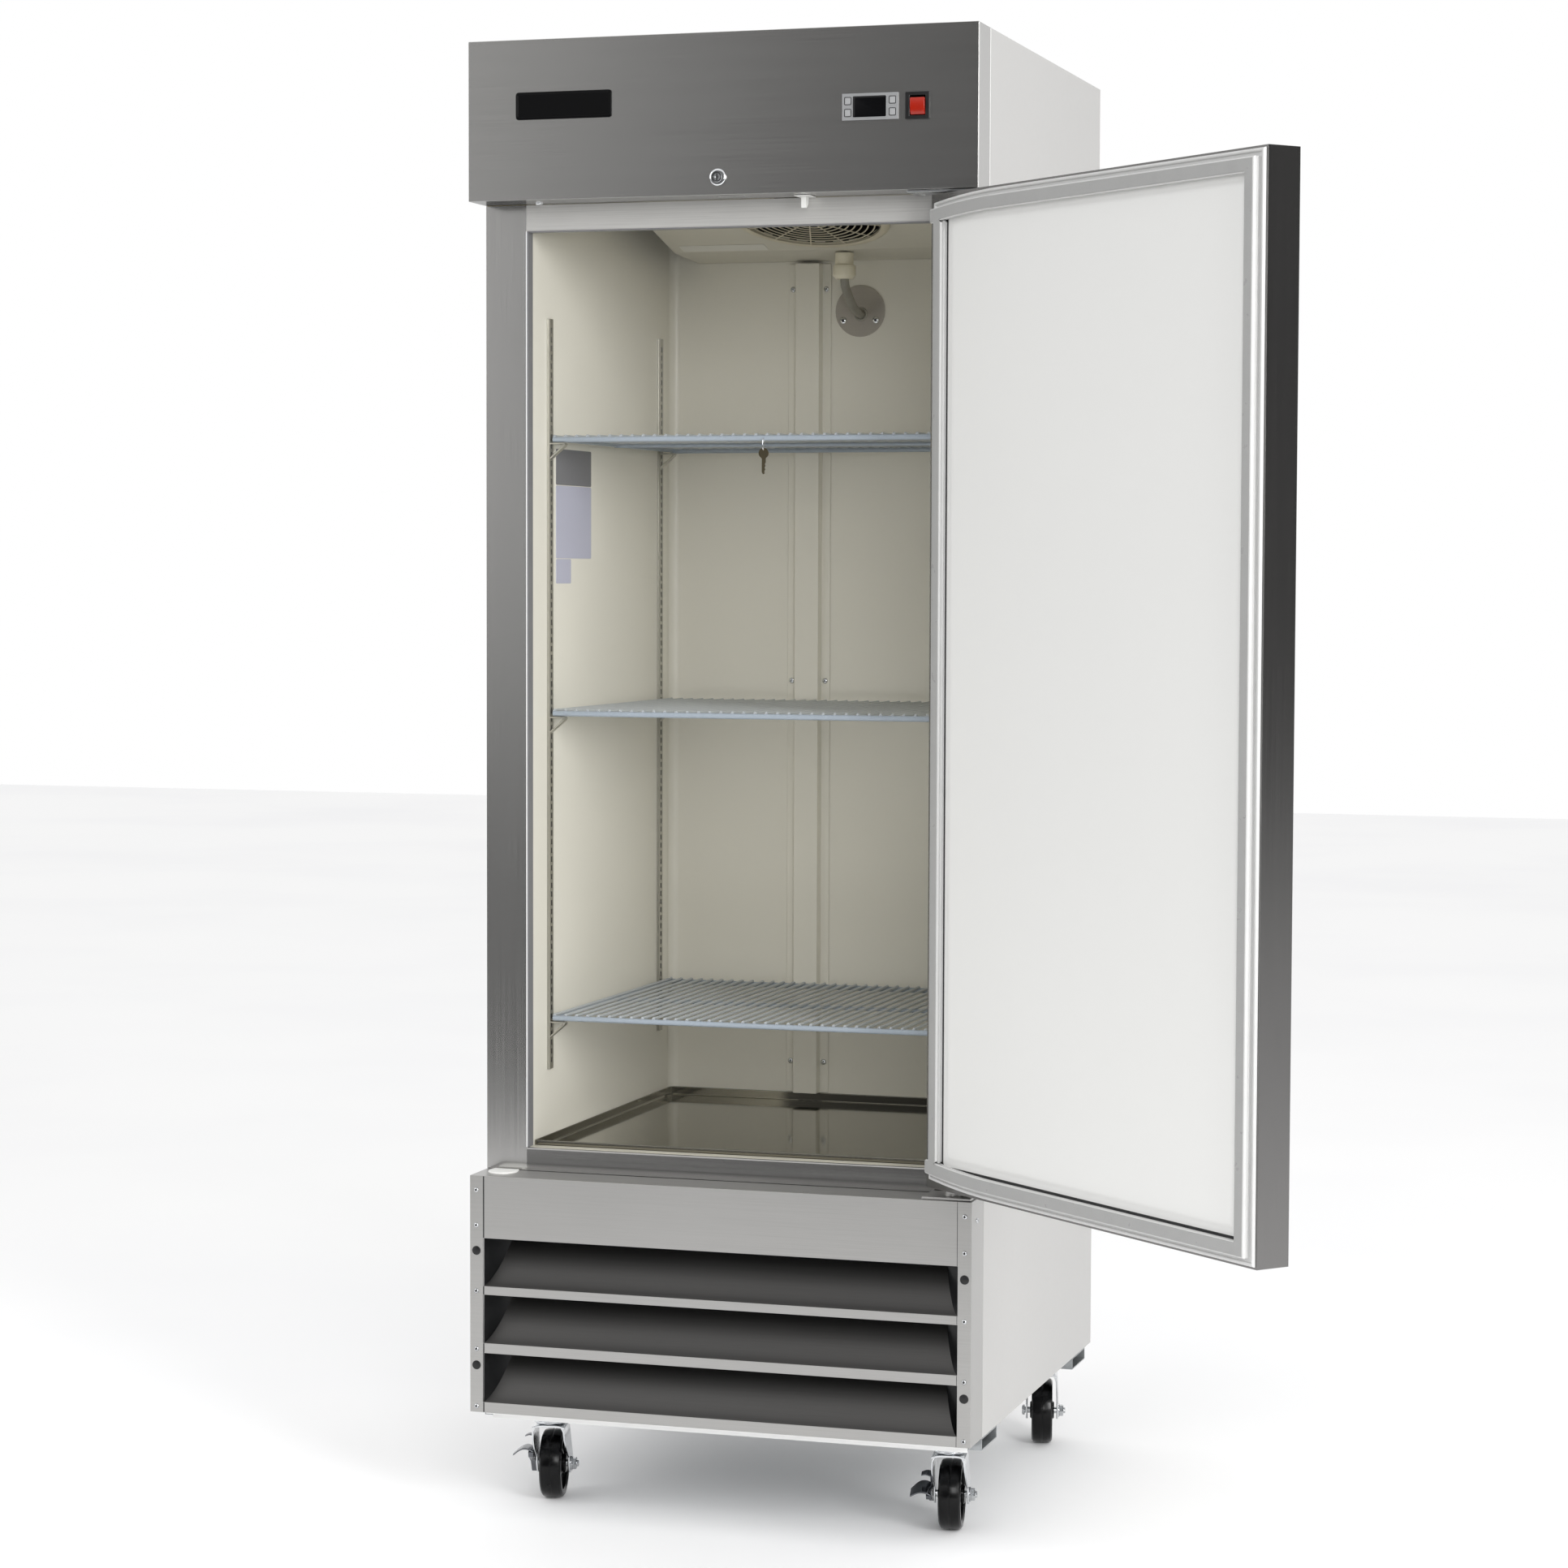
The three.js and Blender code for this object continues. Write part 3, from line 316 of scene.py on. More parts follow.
ZINC_PLATE = plated("zinc_plate", (206, 208, 210), 0.2, 0.7)
KEY_NICKEL = plated("key_nickel", (112, 104, 84), 0.34)
BLACK = moulded("black_plastic", (16, 16, 17), 0.36)
NAME_BLACK = painted("nameplate_black", (6, 6, 7), 0.42, 0, 0.02, 0.9, 0.12)
GLASS_BLACK = painted("display_window", (7, 7, 9), 0.08)
SILVER = moulded("silver_plastic", (142, 143, 144), 0.38, 700, 0.08, 0.94)
KEY_GREY = moulded("key_plastic", (156, 157, 158), 0.42, 700, 0.08, 0.94)
RED = moulded("rocker_red", (158, 32, 15), 0.22, 500, 0.05)
WHITE_PLASTIC = moulded("white_plastic", (238, 238, 235), 0.35, 700, 0.1, 0.95)
CREAM = moulded("cream_plastic", (236, 230, 208), 0.4, 600, 0.08, 0.94)
GUARD = moulded("guard_plastic", (206, 198, 176), 0.45, 600, 0.1, 0.92)
HOSE = moulded("hose_rubber", (150, 147, 137), 0.5, 500, 0.15)
# One grey gasket vinyl in two shades: lips and walls lighter as painted light,
# the magnet face darker as painted shade.
GASKET = moulded("gasket_vinyl_painted_light", (203, 203, 202), 0.36, 700, 0.05, 0.97)
GASKET_FACE_SHADE = moulded("gasket_face_painted_shade", (158, 158, 157), 0.34, 700, 0.05, 0.96)
TYRE = glossy_tyre("wheel_rubber")
FOAM = foamed("insulation_foam", (218, 196, 128))
FINS = brushed("fin_aluminium", (128, 130, 131), 0.35, "z", 0.9)
UNIT_BLACK = moulded("compressor_paint", (22, 23, 25), 0.45, 250, 0.3)
COPPER = plated("copper_tube", (186, 112, 78), 0.28)
STICKER_GREY = painted("dark_sticker", (122, 122, 126), 0.45)
STICKER_LAVENDER = painted("pale_sticker", (190, 191, 208), 0.45)
STICKER_CREAM = painted("cover_sticker", (224, 222, 213), 0.5)
PLATE_STEEL = brushed("plate_steel", (192, 186, 176), 0.3, "x", 0.6, 0.08)

# Mesh building ----

SHARP = math.radians(32)
SIDES = (-1, 1)

# Pan head as (share of its radius, height at a radius of SCREW_SIZE).
SCREW = ((0, 0.9), (0.34, 0.9), (0.4, 2.3), (0.62, 2.1), (0.86, 1.5), (1, 0.5), (1, -0.6), (0, -0.6))
SCREW_SIZE = 4.5

# Where an outline's two values and the depth along the named axis go.
ORDER = {"x": (1, 2, 0), "y": (0, 2, 1), "z": (0, 1, 2)}


def lift(axis, a, b, depth):
    point = [0.0, 0.0, 0.0]
    for slot, value in zip(ORDER[axis], (a, b, depth)):
        point[slot] = value
    return Vector(point)


def arc(centre, radius, start, end, steps):
    """Points on a circle's arc, angles in degrees."""
    angles = [math.radians(start + (end - start) * i / steps) for i in range(steps + 1)]
    return [(centre[0] + radius * math.cos(a), centre[1] + radius * math.sin(a)) for a in angles]


def rounded(across, up, radius, steps=4):
    """Outline of a rectangle with round corners."""
    (a0, a1), (b0, b1) = inset(across, radius), inset(up, radius)
    corners = ((a0, b0), (a1, b0), (a1, b1), (a0, b1))
    turns = ((180, 270), (270, 360), (0, 90), (90, 180))
    return [p for corner, turn in zip(corners, turns) for p in arc(corner, radius, *turn, steps)]


def inset(pair, amount):
    return (pair[0] + amount, pair[1] - amount)


def middle(pair):
    return (pair[0] + pair[1]) / 2


def within(across, up, amount, radius, steps=4):
    """Outline of a round-cornered rectangle set in from its edges by an amount."""
    return rounded(inset(across, amount), inset(up, amount), radius, steps)


def moved(points, across, up):
    return [(a + across, b + up) for a, b in points]


def mirrored(profile):
    """A (radius, height) profile followed by its own mirror image below height 0."""
    return profile + [(r, -h) for r, h in reversed(profile)]


def strap(x, y0, y1, top, thickness):
    """One rectangular section of a strap that runs along X."""
    return [(x, y0, top), (x, y1, top), (x, y1, top - thickness), (x, y0, top - thickness)]


class Form:
    """Collects closed solids in a place's millimetres and makes one mesh of them."""

    def __init__(self, place=CABINET):
        self.place = place
        self.points = []
        self.faces = []

    def add(self, points, faces):
        start = len(self.points)
        self.points += [Vector(point) for point in points]
        self.faces += [[start + i for i in face] for face in faces]
        return self

    def skin(self, loops, closed=False):
        """Joins equal loops of points into a tube, capped unless the loops close on themselves."""
        count, size = len(loops), len(loops[0])
        faces = []
        for k in range(count if closed else count - 1):
            here, there = k * size, (k + 1) % count * size
            for i in range(size):
                after = (i + 1) % size
                faces.append([here + i, here + after, there + after, there + i])
        if not closed:
            faces.append(list(range(size)))
            faces.append(list(range((count - 1) * size, count * size)))
        return self.add([point for loop in loops for point in loop], faces)

    def stack(self, axis, layers, closed=False):
        """Joins outlines, each given with its own depth along the axis."""
        return self.skin([[lift(axis, a, b, depth) for a, b in line] for line, depth in layers], closed)

    def prism(self, axis, outline, depth):
        return self.stack(axis, [(outline, d) for d in depth])

    def box(self, x, y, z):
        (x0, x1), (y0, y1) = sorted(x), sorted(y)
        return self.prism("z", [(x0, y0), (x1, y0), (x1, y1), (x0, y1)], sorted(z))

    def window(self, axis, outer, inner, depth):
        """A plate with one opening; both outlines have the same number of points."""
        near, far = depth
        return self.stack(axis, [(outer, near), (outer, far), (inner, far), (inner, near)], True)

    def lathe(self, axis, centre, profile, segments=32, ring=False):
        """Turns (radius, height) points about an axis; ring says that the profile closes on itself."""
        a, b, depth = (centre[i] for i in ORDER[axis])
        turns = [2 * math.pi * i / segments for i in range(segments)]
        circle = [(math.cos(t), math.sin(t)) for t in turns]
        layers = [([(a + r * c, b + r * s) for c, s in circle], depth + h) for r, h in profile]
        return self.stack(axis, layers, ring)

    def tube(self, path, radius, sides=10):
        """A round bar along a path of points."""
        path = [Vector(point) for point in path]
        steps = [(b - a).normalized() for a, b in zip(path, path[1:])]
        normal = steps[0].orthogonal().normalized()
        turns = [2 * math.pi * k / sides for k in range(sides)]
        loops = []
        for i, point in enumerate(path):
            ahead = steps[min(i, len(steps) - 1)]
            behind = steps[max(i - 1, 0)]
            along = (ahead + behind).normalized()
            normal = (normal - along * normal.dot(along)).normalized()
            side = along.cross(normal)
            reach = radius / max(0.5, along.dot(ahead))
            loops.append([point + reach * (math.cos(t) * normal + math.sin(t) * side) for t in turns])
        return self.skin(loops)

    def spokes(self, axis, centre, angles, half, sections):
        """Straight ribs out from a centre; a section is (reach, low, high), heights along the axis."""
        a, b, depth = (centre[i] for i in ORDER[axis])
        for angle in angles:
            c, s = math.cos(math.radians(angle)), math.sin(math.radians(angle))
            layers = []
            for reach, low, high in sections:
                sides = [(a + reach * c - w * s, b + reach * s + w * c) for w in (-half, half)]
                loop = [(*point, low) for point in sides] + [(*point, high) for point in reversed(sides)]
                layers.append([lift(axis, p, q, depth + h) for p, q, h in loop])
            self.skin(layers)
        return self

    def screws(self, axis, centres, radius, outward):
        """Pan heads with a drive recess, standing on the surface at each centre."""
        profile = [(radius * r, outward * h * radius / SCREW_SIZE) for r, h in SCREW]
        for centre in centres:
            self.lathe(axis, centre, profile, 20)
        return self

    def cells(self, axis, across, up, depth, missing):
        """A sheet cut into cells, with the missing ones left open."""
        columns, rows = len(across), len(up)
        faces = []

        def index(i, j, k):
            return (k * rows + j) * columns + i

        def present(i, j):
            return 0 <= i < columns - 1 and 0 <= j < rows - 1 and (i, j) not in missing

        for i, j in ((i, j) for j in range(rows - 1) for i in range(columns - 1) if present(i, j)):
            corners = ((i, j), (i + 1, j), (i + 1, j + 1), (i, j + 1))
            faces += [[index(*corner, k) for corner in corners] for k in (0, 1)]
            beside = (((i - 1, j), 0, 3), ((i + 1, j), 1, 2), ((i, j - 1), 0, 1), ((i, j + 1), 3, 2))
            for cell, start, end in beside:
                if not present(*cell):
                    p, q = corners[start], corners[end]
                    faces.append([index(*p, 0), index(*q, 0), index(*q, 1), index(*p, 1)])
        return self.add([lift(axis, a, b, d) for d in depth for b in up for a in across], faces)

    def mesh(self, name):
        mesh = bpy.data.meshes.new(name)
        mesh.from_pydata([self.place @ point for point in self.points], [], self.faces)
        return mesh

    def make(self, name, material, slot, body="cabinet", bevel=0.0, steps=2, flat=False):
        """A piece that no CAD node stands behind."""
        return dress(self.mesh(name), material, body, bevel, steps, flat)

    def replace(self, node, name, material, bevel=0.0, steps=2, flat=False):
        """A piece that stands for a CAD node, on the node's body, with the given material."""
        return stand_in(self.mesh(name), node, material, bevel, steps, flat)


def dress(mesh, material, body, bevel, steps, flat):
    """Cleans a mesh, rounds its edges, and puts it on its body with its material."""
    work = bmesh.new()
    work.from_mesh(mesh)
    bmesh.ops.remove_doubles(work, verts=work.verts, dist=1e-6)
    bmesh.ops.dissolve_degenerate(work, dist=1e-7, edges=work.edges)
    loose = [v for v in work.verts if not v.link_faces]
    bmesh.ops.delete(work, geom=loose, context="VERTS")
    if flat:
        angle = math.radians(1)
        bmesh.ops.dissolve_limit(work, angle_limit=angle, verts=work.verts, edges=work.edges)
    bmesh.ops.recalc_face_normals(work, faces=work.faces)
    work.to_mesh(mesh)
    work.free()
    for polygon in mesh.polygons:
        polygon.use_smooth = True
    mesh.set_sharp_from_angle(angle=SHARP)
    mesh.materials.append(material)
    piece = bpy.data.objects.new(mesh.name, mesh)
    bpy.context.scene.collection.objects.link(piece)
    if bevel:
        modifier = piece.modifiers.new("round_edges", "BEVEL")
        modifier.width = bevel * MM
        modifier.segments = steps
        modifier.limit_method = "ANGLE"
        modifier.angle_limit = SHARP
        modifier.harden_normals = True
    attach(piece, body)
    return piece


def stand_in(mesh, node, material, bevel, steps, flat):
    piece = dress(mesh, material, nodes[node]["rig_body"], bevel, steps, flat)
    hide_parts(node)
    return piece


def refine(node, name, material, bevel=0.6, steps=2):
    """A copy of a CAD node with its sharp edges rounded, standing for it."""
    source = nodes[node].data
    mesh = bpy.data.meshes.new(name)
    corners = [vertex.co for vertex in source.vertices]
    mesh.from_pydata(corners, [], [list(face.vertices) for face in source.polygons])
    return stand_in(mesh, node, material, bevel, steps, True)


def keep(node, material):
    """Leaves a CAD node showing, with a procedural material."""
    mesh = nodes[node].data
    mesh.materials.clear()
    mesh.materials.append(material)


# Outer casing ----

HALF = (header_high.x - MIDDLE_X) / MM
_, (FRONT, DEPTH), (SKIRT, TOP) = span("side_panel_right")
_, (_, BASE_BACK), (_, LEDGE) = span("base_grille")
SOFFIT = span("header_panel")[2][0]
WALL_X = span("liner_right")[0][0]
BACK_Y = span("liner_back")[1][0]
FRAME_Y = span("front_frame")[1][0]
FRAME_LOW, FRAME_HIGH = span("front_frame")[2]
RAIL_HALF = 306.6
RAIL_HEIGHT = 36.5
SILL_HEIGHT = 32.2
SILL_TREAD = ((22, 1.2), (22, 0.2), (2, 0.2), (0.2, -2))


def casing():
    for side in ("right", "left"):
        refine(f"side_panel_{side}", f"side_skin_{side}", SIDE_PAINT, 0.9)
    refine("back_panel", "rear_skin", ZINC)
    refine("roof_panel", "roof_skin", ZINC)
    keep("insulation", FOAM)
    flanges = Form()
    back = (DEPTH - 1.5, DEPTH + 0.9)
    for side in SIDES:
        flanges.box((side * (HALF - 23), side * (HALF - 5)), back, (LEDGE, TOP - 4))
        flanges.box((side * (HALF - 24), side * (HALF - 6)), (FRONT + 8, DEPTH - 6), (TOP - 0.6, TOP + 0.8))
    for height in ((TOP - 24, TOP - 6), (LEDGE, LEDGE + 18)):
        flanges.box((-HALF + 24, HALF - 24), back, height)
    flanges.make("rear_flanges", ZINC, "galvanised", bevel=0.4, steps=1)
    rear = [(side * (HALF - 14), back[1], LEDGE + 60 + k * 205) for side in SIDES for k in range(8)]
    rear += [(x, back[1], z) for x in range(-240, 241, 120) for z in (TOP - 15, LEDGE + 9)]
    above = [(side * (HALF - 15), FRONT + 60 + k * 180, TOP + 0.8) for side in SIDES for k in range(4)]
    Form().screws("y", rear, 4, 1).screws("z", above, 4, 1).make("rear_screws", ZINC_PLATE, "galvanised")


def face_frame():
    refine("front_frame", "opening_frame", STEEL_FRAME, 0.5)
    width = (-RAIL_HALF, RAIL_HALF)
    lower = FRAME_HIGH - RAIL_HEIGHT
    rail = Form().box(width, (FRAME_Y - 0.9, FRAME_Y + 0.4), (lower, FRAME_HIGH - 0.4))
    rail.box(width, (FRAME_Y - 0.9, FRAME_Y + 14), (lower - 0.2, lower + 1))
    rail.make("rail_facing", STEEL_RAIL, "stainless", bevel=0.35)
    sill_z = FRAME_LOW + SILL_HEIGHT
    nose = arc((FRAME_Y + 2.2, sill_z - 1.8), 3, 180, 90, 6)
    foot = [(FRAME_Y + 0.2, FRAME_LOW + 0.5), (FRAME_Y - 0.8, FRAME_LOW + 0.5)]
    sill = Form().prism("x", nose + moved(SILL_TREAD, FRAME_Y, sill_z) + foot, width)
    sill.make("sill_facing", STEEL_HEADER, "stainless")
    strips, lines = Form(), Form()
    depth = (FRAME_Y + 0.4, FRAME_Y + 19)
    height = (sill_z + 1.4, lower - 0.4)
    for side in SIDES:
        strips.box((side * (WALL_X - 0.7), side * (WALL_X + 2.3)), depth, height)
        # A thin white strip at each stile's inner edge is a painted highlight of the frame's rounded edge.
        lines.box((side * (WALL_X + 1.2), side * (WALL_X + 2.4)), (FRAME_Y - 0.5, FRAME_Y + 0.5), height)
    strips.box((-WALL_X, WALL_X), depth, (lower - 1.6, lower + 0.2))
    strips.make("throat_breakers", BREAKER, "grey_plastic", bevel=0.3)
    lines.make("throat_edge_painted_highlights", WHITE_STRIP_AND_HIGHLIGHT, "stainless", bevel=0.1, steps=1)
    tread = Form().box((-WALL_X + 1, WALL_X - 1), (FRAME_Y + 5, FRAME_Y + 22), (sill_z + 1.1, sill_z + 1.7))
    tread.make("sill_breaker", COVER_WHITE, "white_plastic", bevel=0.2)


# Header, its controls and the hinges ----

NAMEPLATE = ((-297, -155), (1979, 2017))
KEYS = ("key_upper_left", "key_lower_left", "key_up", "key_down")
HINGE_SCREWS = ((280, 46, -1.3), (280, 18, -1.3), (306, 50, -1.3), (-280, 46, -0.1))
SPARE_HINGE = (-335, 44)


def header():
    refine("header_panel", "header_shell", STEEL_HEADER, 0.9, 3)
    # Thin white strips on the header's side edges are painted highlights of its folded edges.
    edges = Form()
    for side in SIDES:
        for y in (1.2, FRAME_Y - 2):
            edges.box((side * (HALF - 0.2), side * (HALF + 0.25)), (y, y + 1.5), (SOFFIT + 1, TOP - 1))
    edges.make("header_edge_painted_highlights", WHITE_STRIP_AND_HIGHLIGHT, "stainless", bevel=0.1, steps=1)
    levels = ((0, 0.2), (0, -1.1), (1.2, -1.8), (3, -1.8), (3.6, -1.3))
    layers = [(within(*NAMEPLATE, a, 4.2 - a * 0.6), y) for a, y in levels]
    Form().stack("y", layers).make("nameplate", NAME_BLACK, "black_plastic")
    controls()
    lock()
    refine("door_switch_housing", "door_switch_body", WHITE_PLASTIC, 0.9, 3)
    refine("door_switch_plunger", "door_switch_tab", WHITE_PLASTIC, 1.6, 3)


def controls():
    _, (face, _), house_z = span("controller_housing")
    refine("controller_housing", "controller_bezel", SILVER, 1.2, 3)
    glass = ((span("key_upper_left")[0][1] + 2, span("key_up")[0][0] - 3.5), inset(house_z, 2.6))
    rim = Form().window("y", rounded(*glass, 2.5), within(*glass, 1.2, 1.8), (face - 0.7, face + 1))
    rim.make("display_rim", SILVER, "grey_plastic", bevel=0.25)
    levels = ((1, 1), (1, -0.2), (1.6, -0.45), (4, -0.55))
    layers = [(within(*glass, a, 1.8), face + y) for a, y in levels]
    Form().stack("y", layers).make("display_window", GLASS_BLACK, "black_plastic")
    # Black rims round the keys are painted shade in the gaps.
    gaps = Form()
    for key in KEYS:
        refine(key, key + "_cap", KEY_GREY, 0.9, 3)
        x, _, z = span(key)
        gaps.window("y", within(x, z, -0.9, 1.6), within(x, z, -0.05, 0.9), (face - 0.2, face + 0.4))
    gaps.make("key_gap_painted_shade", BLACK, "black_plastic")
    refine("switch_bezel", "switch_surround", BLACK, 1.0, 3)
    refine("switch_rocker", "rocker_button", RED, 1.1, 3)


def lock():
    lock_x, (lip, reach), lock_z = span("lock_barrel")
    x, z = middle(lock_x), middle(lock_z)
    front = ((6.3, 0), (7.2, -0.3), (8.4, -0.1), (8.9, 0.7), (9.9, 0.8), (11, 1.3), (11.7, 2.2))
    rings = moved(front, 0, lip) + [(11.7, -0.3), (9, -0.3), (9, reach), (6.3, reach)]
    Form().lathe("y", (x, 0, z), rings, 48, True).replace("lock_barrel", "lock_rings", CHROME)
    refine("lock_plug", "lock_key_plug", ZINC_PLATE, 0.35)
    # A flat black ring between the lock's chrome rings is painted shadow.
    groove = Form().lathe("y", (x, lip, z), [(7.3, 0.3), (7.5, -0.35), (8.5, -0.3), (8.7, 0.6)], 40, True)
    groove.make("lock_ring_painted_shadow", BLACK, "black_plastic")
    face = span("lock_plug")[1][0]
    # A black ring and slot on the plug's face are painted shade in the keyway.
    keyway = Form().lathe("y", (x, face, z), [(5.2, -0.1), (5.2, -0.4), (6.1, -0.4), (6.1, -0.1)], 32, True)
    keyway.box((x - 0.9, x + 0.9), (face - 0.3, face + 0.2), (z - 4.6, z + 4.6))
    keyway.make("lock_keyway_painted_shade", BLACK, "black_plastic", nodes["lock_plug"]["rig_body"], 0.05, 1)


def hinges():
    refine("hinge_top", "hinge_top_bracket", ZINC_PLATE, 0.8, 3)
    # The bottom hinge takes the darker base steel instead of zinc plate, as painted shade under the door.
    refine("hinge_bottom", "hinge_bottom_bracket", STEEL_BASE, 0.8, 3)
    centres = [(x, y, SOFFIT + z) for x, y, z in HINGE_SCREWS]
    Form().screws("z", centres, 5.5, -1).make("hinge_screws", CHROME, "chrome")
    outline = arc((-335, 41), 20.5, 180, 360, 14) + [(-314.5, 50), (-316.5, 59), (-353.5, 59), (-355.5, 50)]
    x, y = SPARE_HINGE
    layers = []
    for shrink, z in ((0, 0.15), (0, 1.6), (0.8, 2.4), (3, 2.6)):
        size = 1 - shrink / 20
        layers.append(([(x + (a - x) * size, y + (b - y) * size) for a, b in outline], LEDGE + z))
    Form().stack("z", layers).make("spare_hinge_cover", WHITE_PLASTIC, "white_plastic")


# Inside of the cabinet ----

COVE_RADIUS = 14
STICKERS = (
    ("notice_sticker_dark", (178, 324), (1476, 1528), STICKER_GREY),
    ("notice_sticker_pale", (178, 324), (1369.5, 1475), STICKER_LAVENDER),
    ("notice_sticker_small", (178, 239), (1333, 1368.5), STICKER_LAVENDER),
)
COVER_BACK_EDGE = (0, 564, 1841)
COVER_FACE = 2.4


def liner():
    for node in ("liner_left", "liner_right", "liner_back", "liner_ceiling"):
        keep(node, LINER)
    (_, pan_edge), (near, far), (low, high) = span("floor_pan")
    height = (high, span("liner_ceiling")[2][0] - 1)
    coves, rim = Form(), Form()
    for side in SIDES:
        centre = (side * (WALL_X - COVE_RADIUS), BACK_Y - COVE_RADIUS)
        curve = arc(centre, COVE_RADIUS - 0.2, 90, 90 - 90 * side, 6)
        coves.prism("z", curve + [(side * (WALL_X - 0.2), BACK_Y - 0.2)], height)
        curve = arc((side * (pan_edge - 7), low + 8.5), 7, 90 - 90 * side, 90 - 180 * side, 6)
        rim.prism("y", curve + [(side * (pan_edge - 1.6), low + 1.5)], (near + 3, far - 3))
    coves.make("liner_corner_coves", LINER, "liner_white")
    refine("floor_pan", "floor_pan_tray", PAN_STEEL, 1.2, 3)
    rim.make("floor_pan_coves", PAN_STEEL, "polished_pan")
    refine("back_channel", "wiring_channel", LINER, 0.9)
    across, _, (bottom, top) = span("back_channel")
    heights = (top - 39, bottom + 49, middle((bottom, top)))
    centres = [(x, BACK_Y - 2.6, z) for x in inset(across, 7.5) for z in heights]
    Form().screws("y", centres, 4.4, -1).make("channel_screws", ZINC_PLATE, "chrome")


def stickers():
    for name, y, z, material in STICKERS:
        plain = Form().prism("x", rounded(y, z, 2.5), (-WALL_X - 0.2, -WALL_X + 0.5))
        plain.make(name, material, "white_plastic", bevel=0.15, steps=1)
    edge = (COVER.inverted() @ (CABINET @ Vector(COVER_BACK_EDGE))).y
    outline = rounded((-241, -104), (edge - 28, edge - 2), 2)
    plain = Form(COVER).prism("z", outline, (COVER_FACE, COVER_FACE + 0.5))
    plain.make("cover_sticker", STICKER_CREAM, "white_plastic", bevel=0.15, steps=1)


# Shelves and their supports ----

SHELF_LEVELS = ("lower", "middle", "upper")
SLOT_PITCH = 12.7
SLOT_HEIGHT = 8
SLOT_HALF = 2.8
SUPPORT_HALF = 7.2

# Outline of the bent hook under a shelf: (distance towards the wall, height).
HOOK = (
    (3, 0), (-21, 0), (-22.8, -2.2), (-21.6, -4.8), (-1.5, -22), (1, -24), (1, -21.6), (-0.8, -20),
    (-17.6, -4.8), (-19.6, -2.1), (3, -2.1),
)
WIRES = 36
WIRE_RADIUS = 2.3
ROD_RADIUS = 4

# The end of a shelf wire: (distance from the rod, height).
WIRE_END = ((-1.8, 3.4), (0, 4.8), (4, 4.7), (9, 4.4))
KEY_X = 21.4
KEY_BLADE = (
    (-2.6, -25), (-2.6, -44), (-0.6, -47), (1.4, -45.5), (1, -42), (2.6, -40), (1.2, -37.5), (2.8, -35),
    (1.6, -32.5), (3, -30), (3, -25),
)


def support(node, side):
    """A lipped channel with a column of slots, and one bent hook under every shelf."""
    _, y, z = span(node)
    y = middle(y)
    wall, face = side * (WALL_X - 0.3), side * (WALL_X - 4.2)
    rows = [z[0]]
    step = z[0] + 9
    while step + 10 < z[1]:
        rows += [step, step + SLOT_HEIGHT]
        step += SLOT_PITCH
    rows.append(z[1])
    columns = [y + a for a in (-SUPPORT_HALF, -SLOT_HALF, SLOT_HALF, SUPPORT_HALF)]
    slots_open = {(1, j) for j in range(1, len(rows) - 1, 2)}
    strip = Form().cells("x", columns, rows, sorted((face, face + side * 1.2)), slots_open)
    for edge in SIDES:
        rim = y + edge * SUPPORT_HALF
        strip.box((face + side, wall), (rim, y + edge * (SUPPORT_HALF - 1.2)), z)
        strip.box((wall - side * 1.1, wall), (rim, y + edge * 8.6), z)
    strip.replace(node, node + "_channel", STRIP_CHROME, flat=True)
    # A black box behind the channel, seen through the slots, is painted shade.
    slot_shade = Form().box((face + side * 1.4, wall), (y - 3.8, y + 3.8), inset(z, 2))
    slot_shade.make(node + "_slot_painted_shade", BLACK, "chrome", bevel=0.2, steps=1)
    hooks = Form()
    for level in SHELF_LEVELS:
        top = span("shelf_" + level)[2][0] - 1.2
        hooks.prism("y", [(face + side * a, top + b) for a, b in HOOK], (y - 6, y + 6))
    hooks.make(node + "_hooks", STRIP_CHROME, "chrome", bevel=0.4, steps=1)


def wire_shelf(node):
    (left, right), y, (z, _) = span(node)
    z += 3.5
    front, back = inset(y, 3.5)
    centre = middle((front, back))
    rods = Form()
    for y, height, radius, sides in (
        (front, z, ROD_RADIUS, 16), (back, z, ROD_RADIUS, 16), (centre, z - 0.6, 2.8, 12),
    ):
        rods.tube([(left, y, height), (right, y, height)], radius, sides)
    for x in (left + 2.2, right - 2.2):
        rods.tube([(x, front, z), (x, back, z)], 2.6, 12)
    rods.replace(node, node + "_rods", WIRE_COAT)
    wires = Form()
    path = [(front + a, z + h) for a, h in WIRE_END] + [(centre, z + 4.2)]
    path += [(back - a, z + h) for a, h in reversed(WIRE_END)]
    pitch = (right - left - 3.4) / (WIRES - 1)
    for i in range(WIRES):
        wires.tube([(left + 1.7 + i * pitch, y, h) for y, h in path], WIRE_RADIUS, 8)
    wires.make(node + "_wires", WIRE_PALE, "coated_wire", node)


def hanging_key():
    """A flat key on a ring, hung from the front rod of the top shelf."""
    _, (front, _), (low, _) = span("shelf_upper")
    y, top = front - 0.5, low - 1
    outline = arc((KEY_X, top - 17), 7.4, -60, 240, 20) + moved(KEY_BLADE, KEY_X, top)
    key = Form().prism("y", outline, (y - 1, y + 1))
    key.make("cabinet_key", KEY_NICKEL, "chrome", "shelf_upper", 0.3, 1)
    turns = [2 * math.pi * i / 28 for i in range(29)]
    circle = [(math.sin(t), math.cos(t)) for t in turns]
    ring = Form().tube([(KEY_X + 0.6 * s, y + 3.2 * s, top - 4.5 + 8.5 * c) for s, c in circle], 0.6, 8)
    ring.make("key_ring", CHROME, "chrome", "shelf_upper")


# Evaporator: guard, fan, drain and hose ----

ORIGIN = (0, 0, 0)
GUARD_RINGS = 9

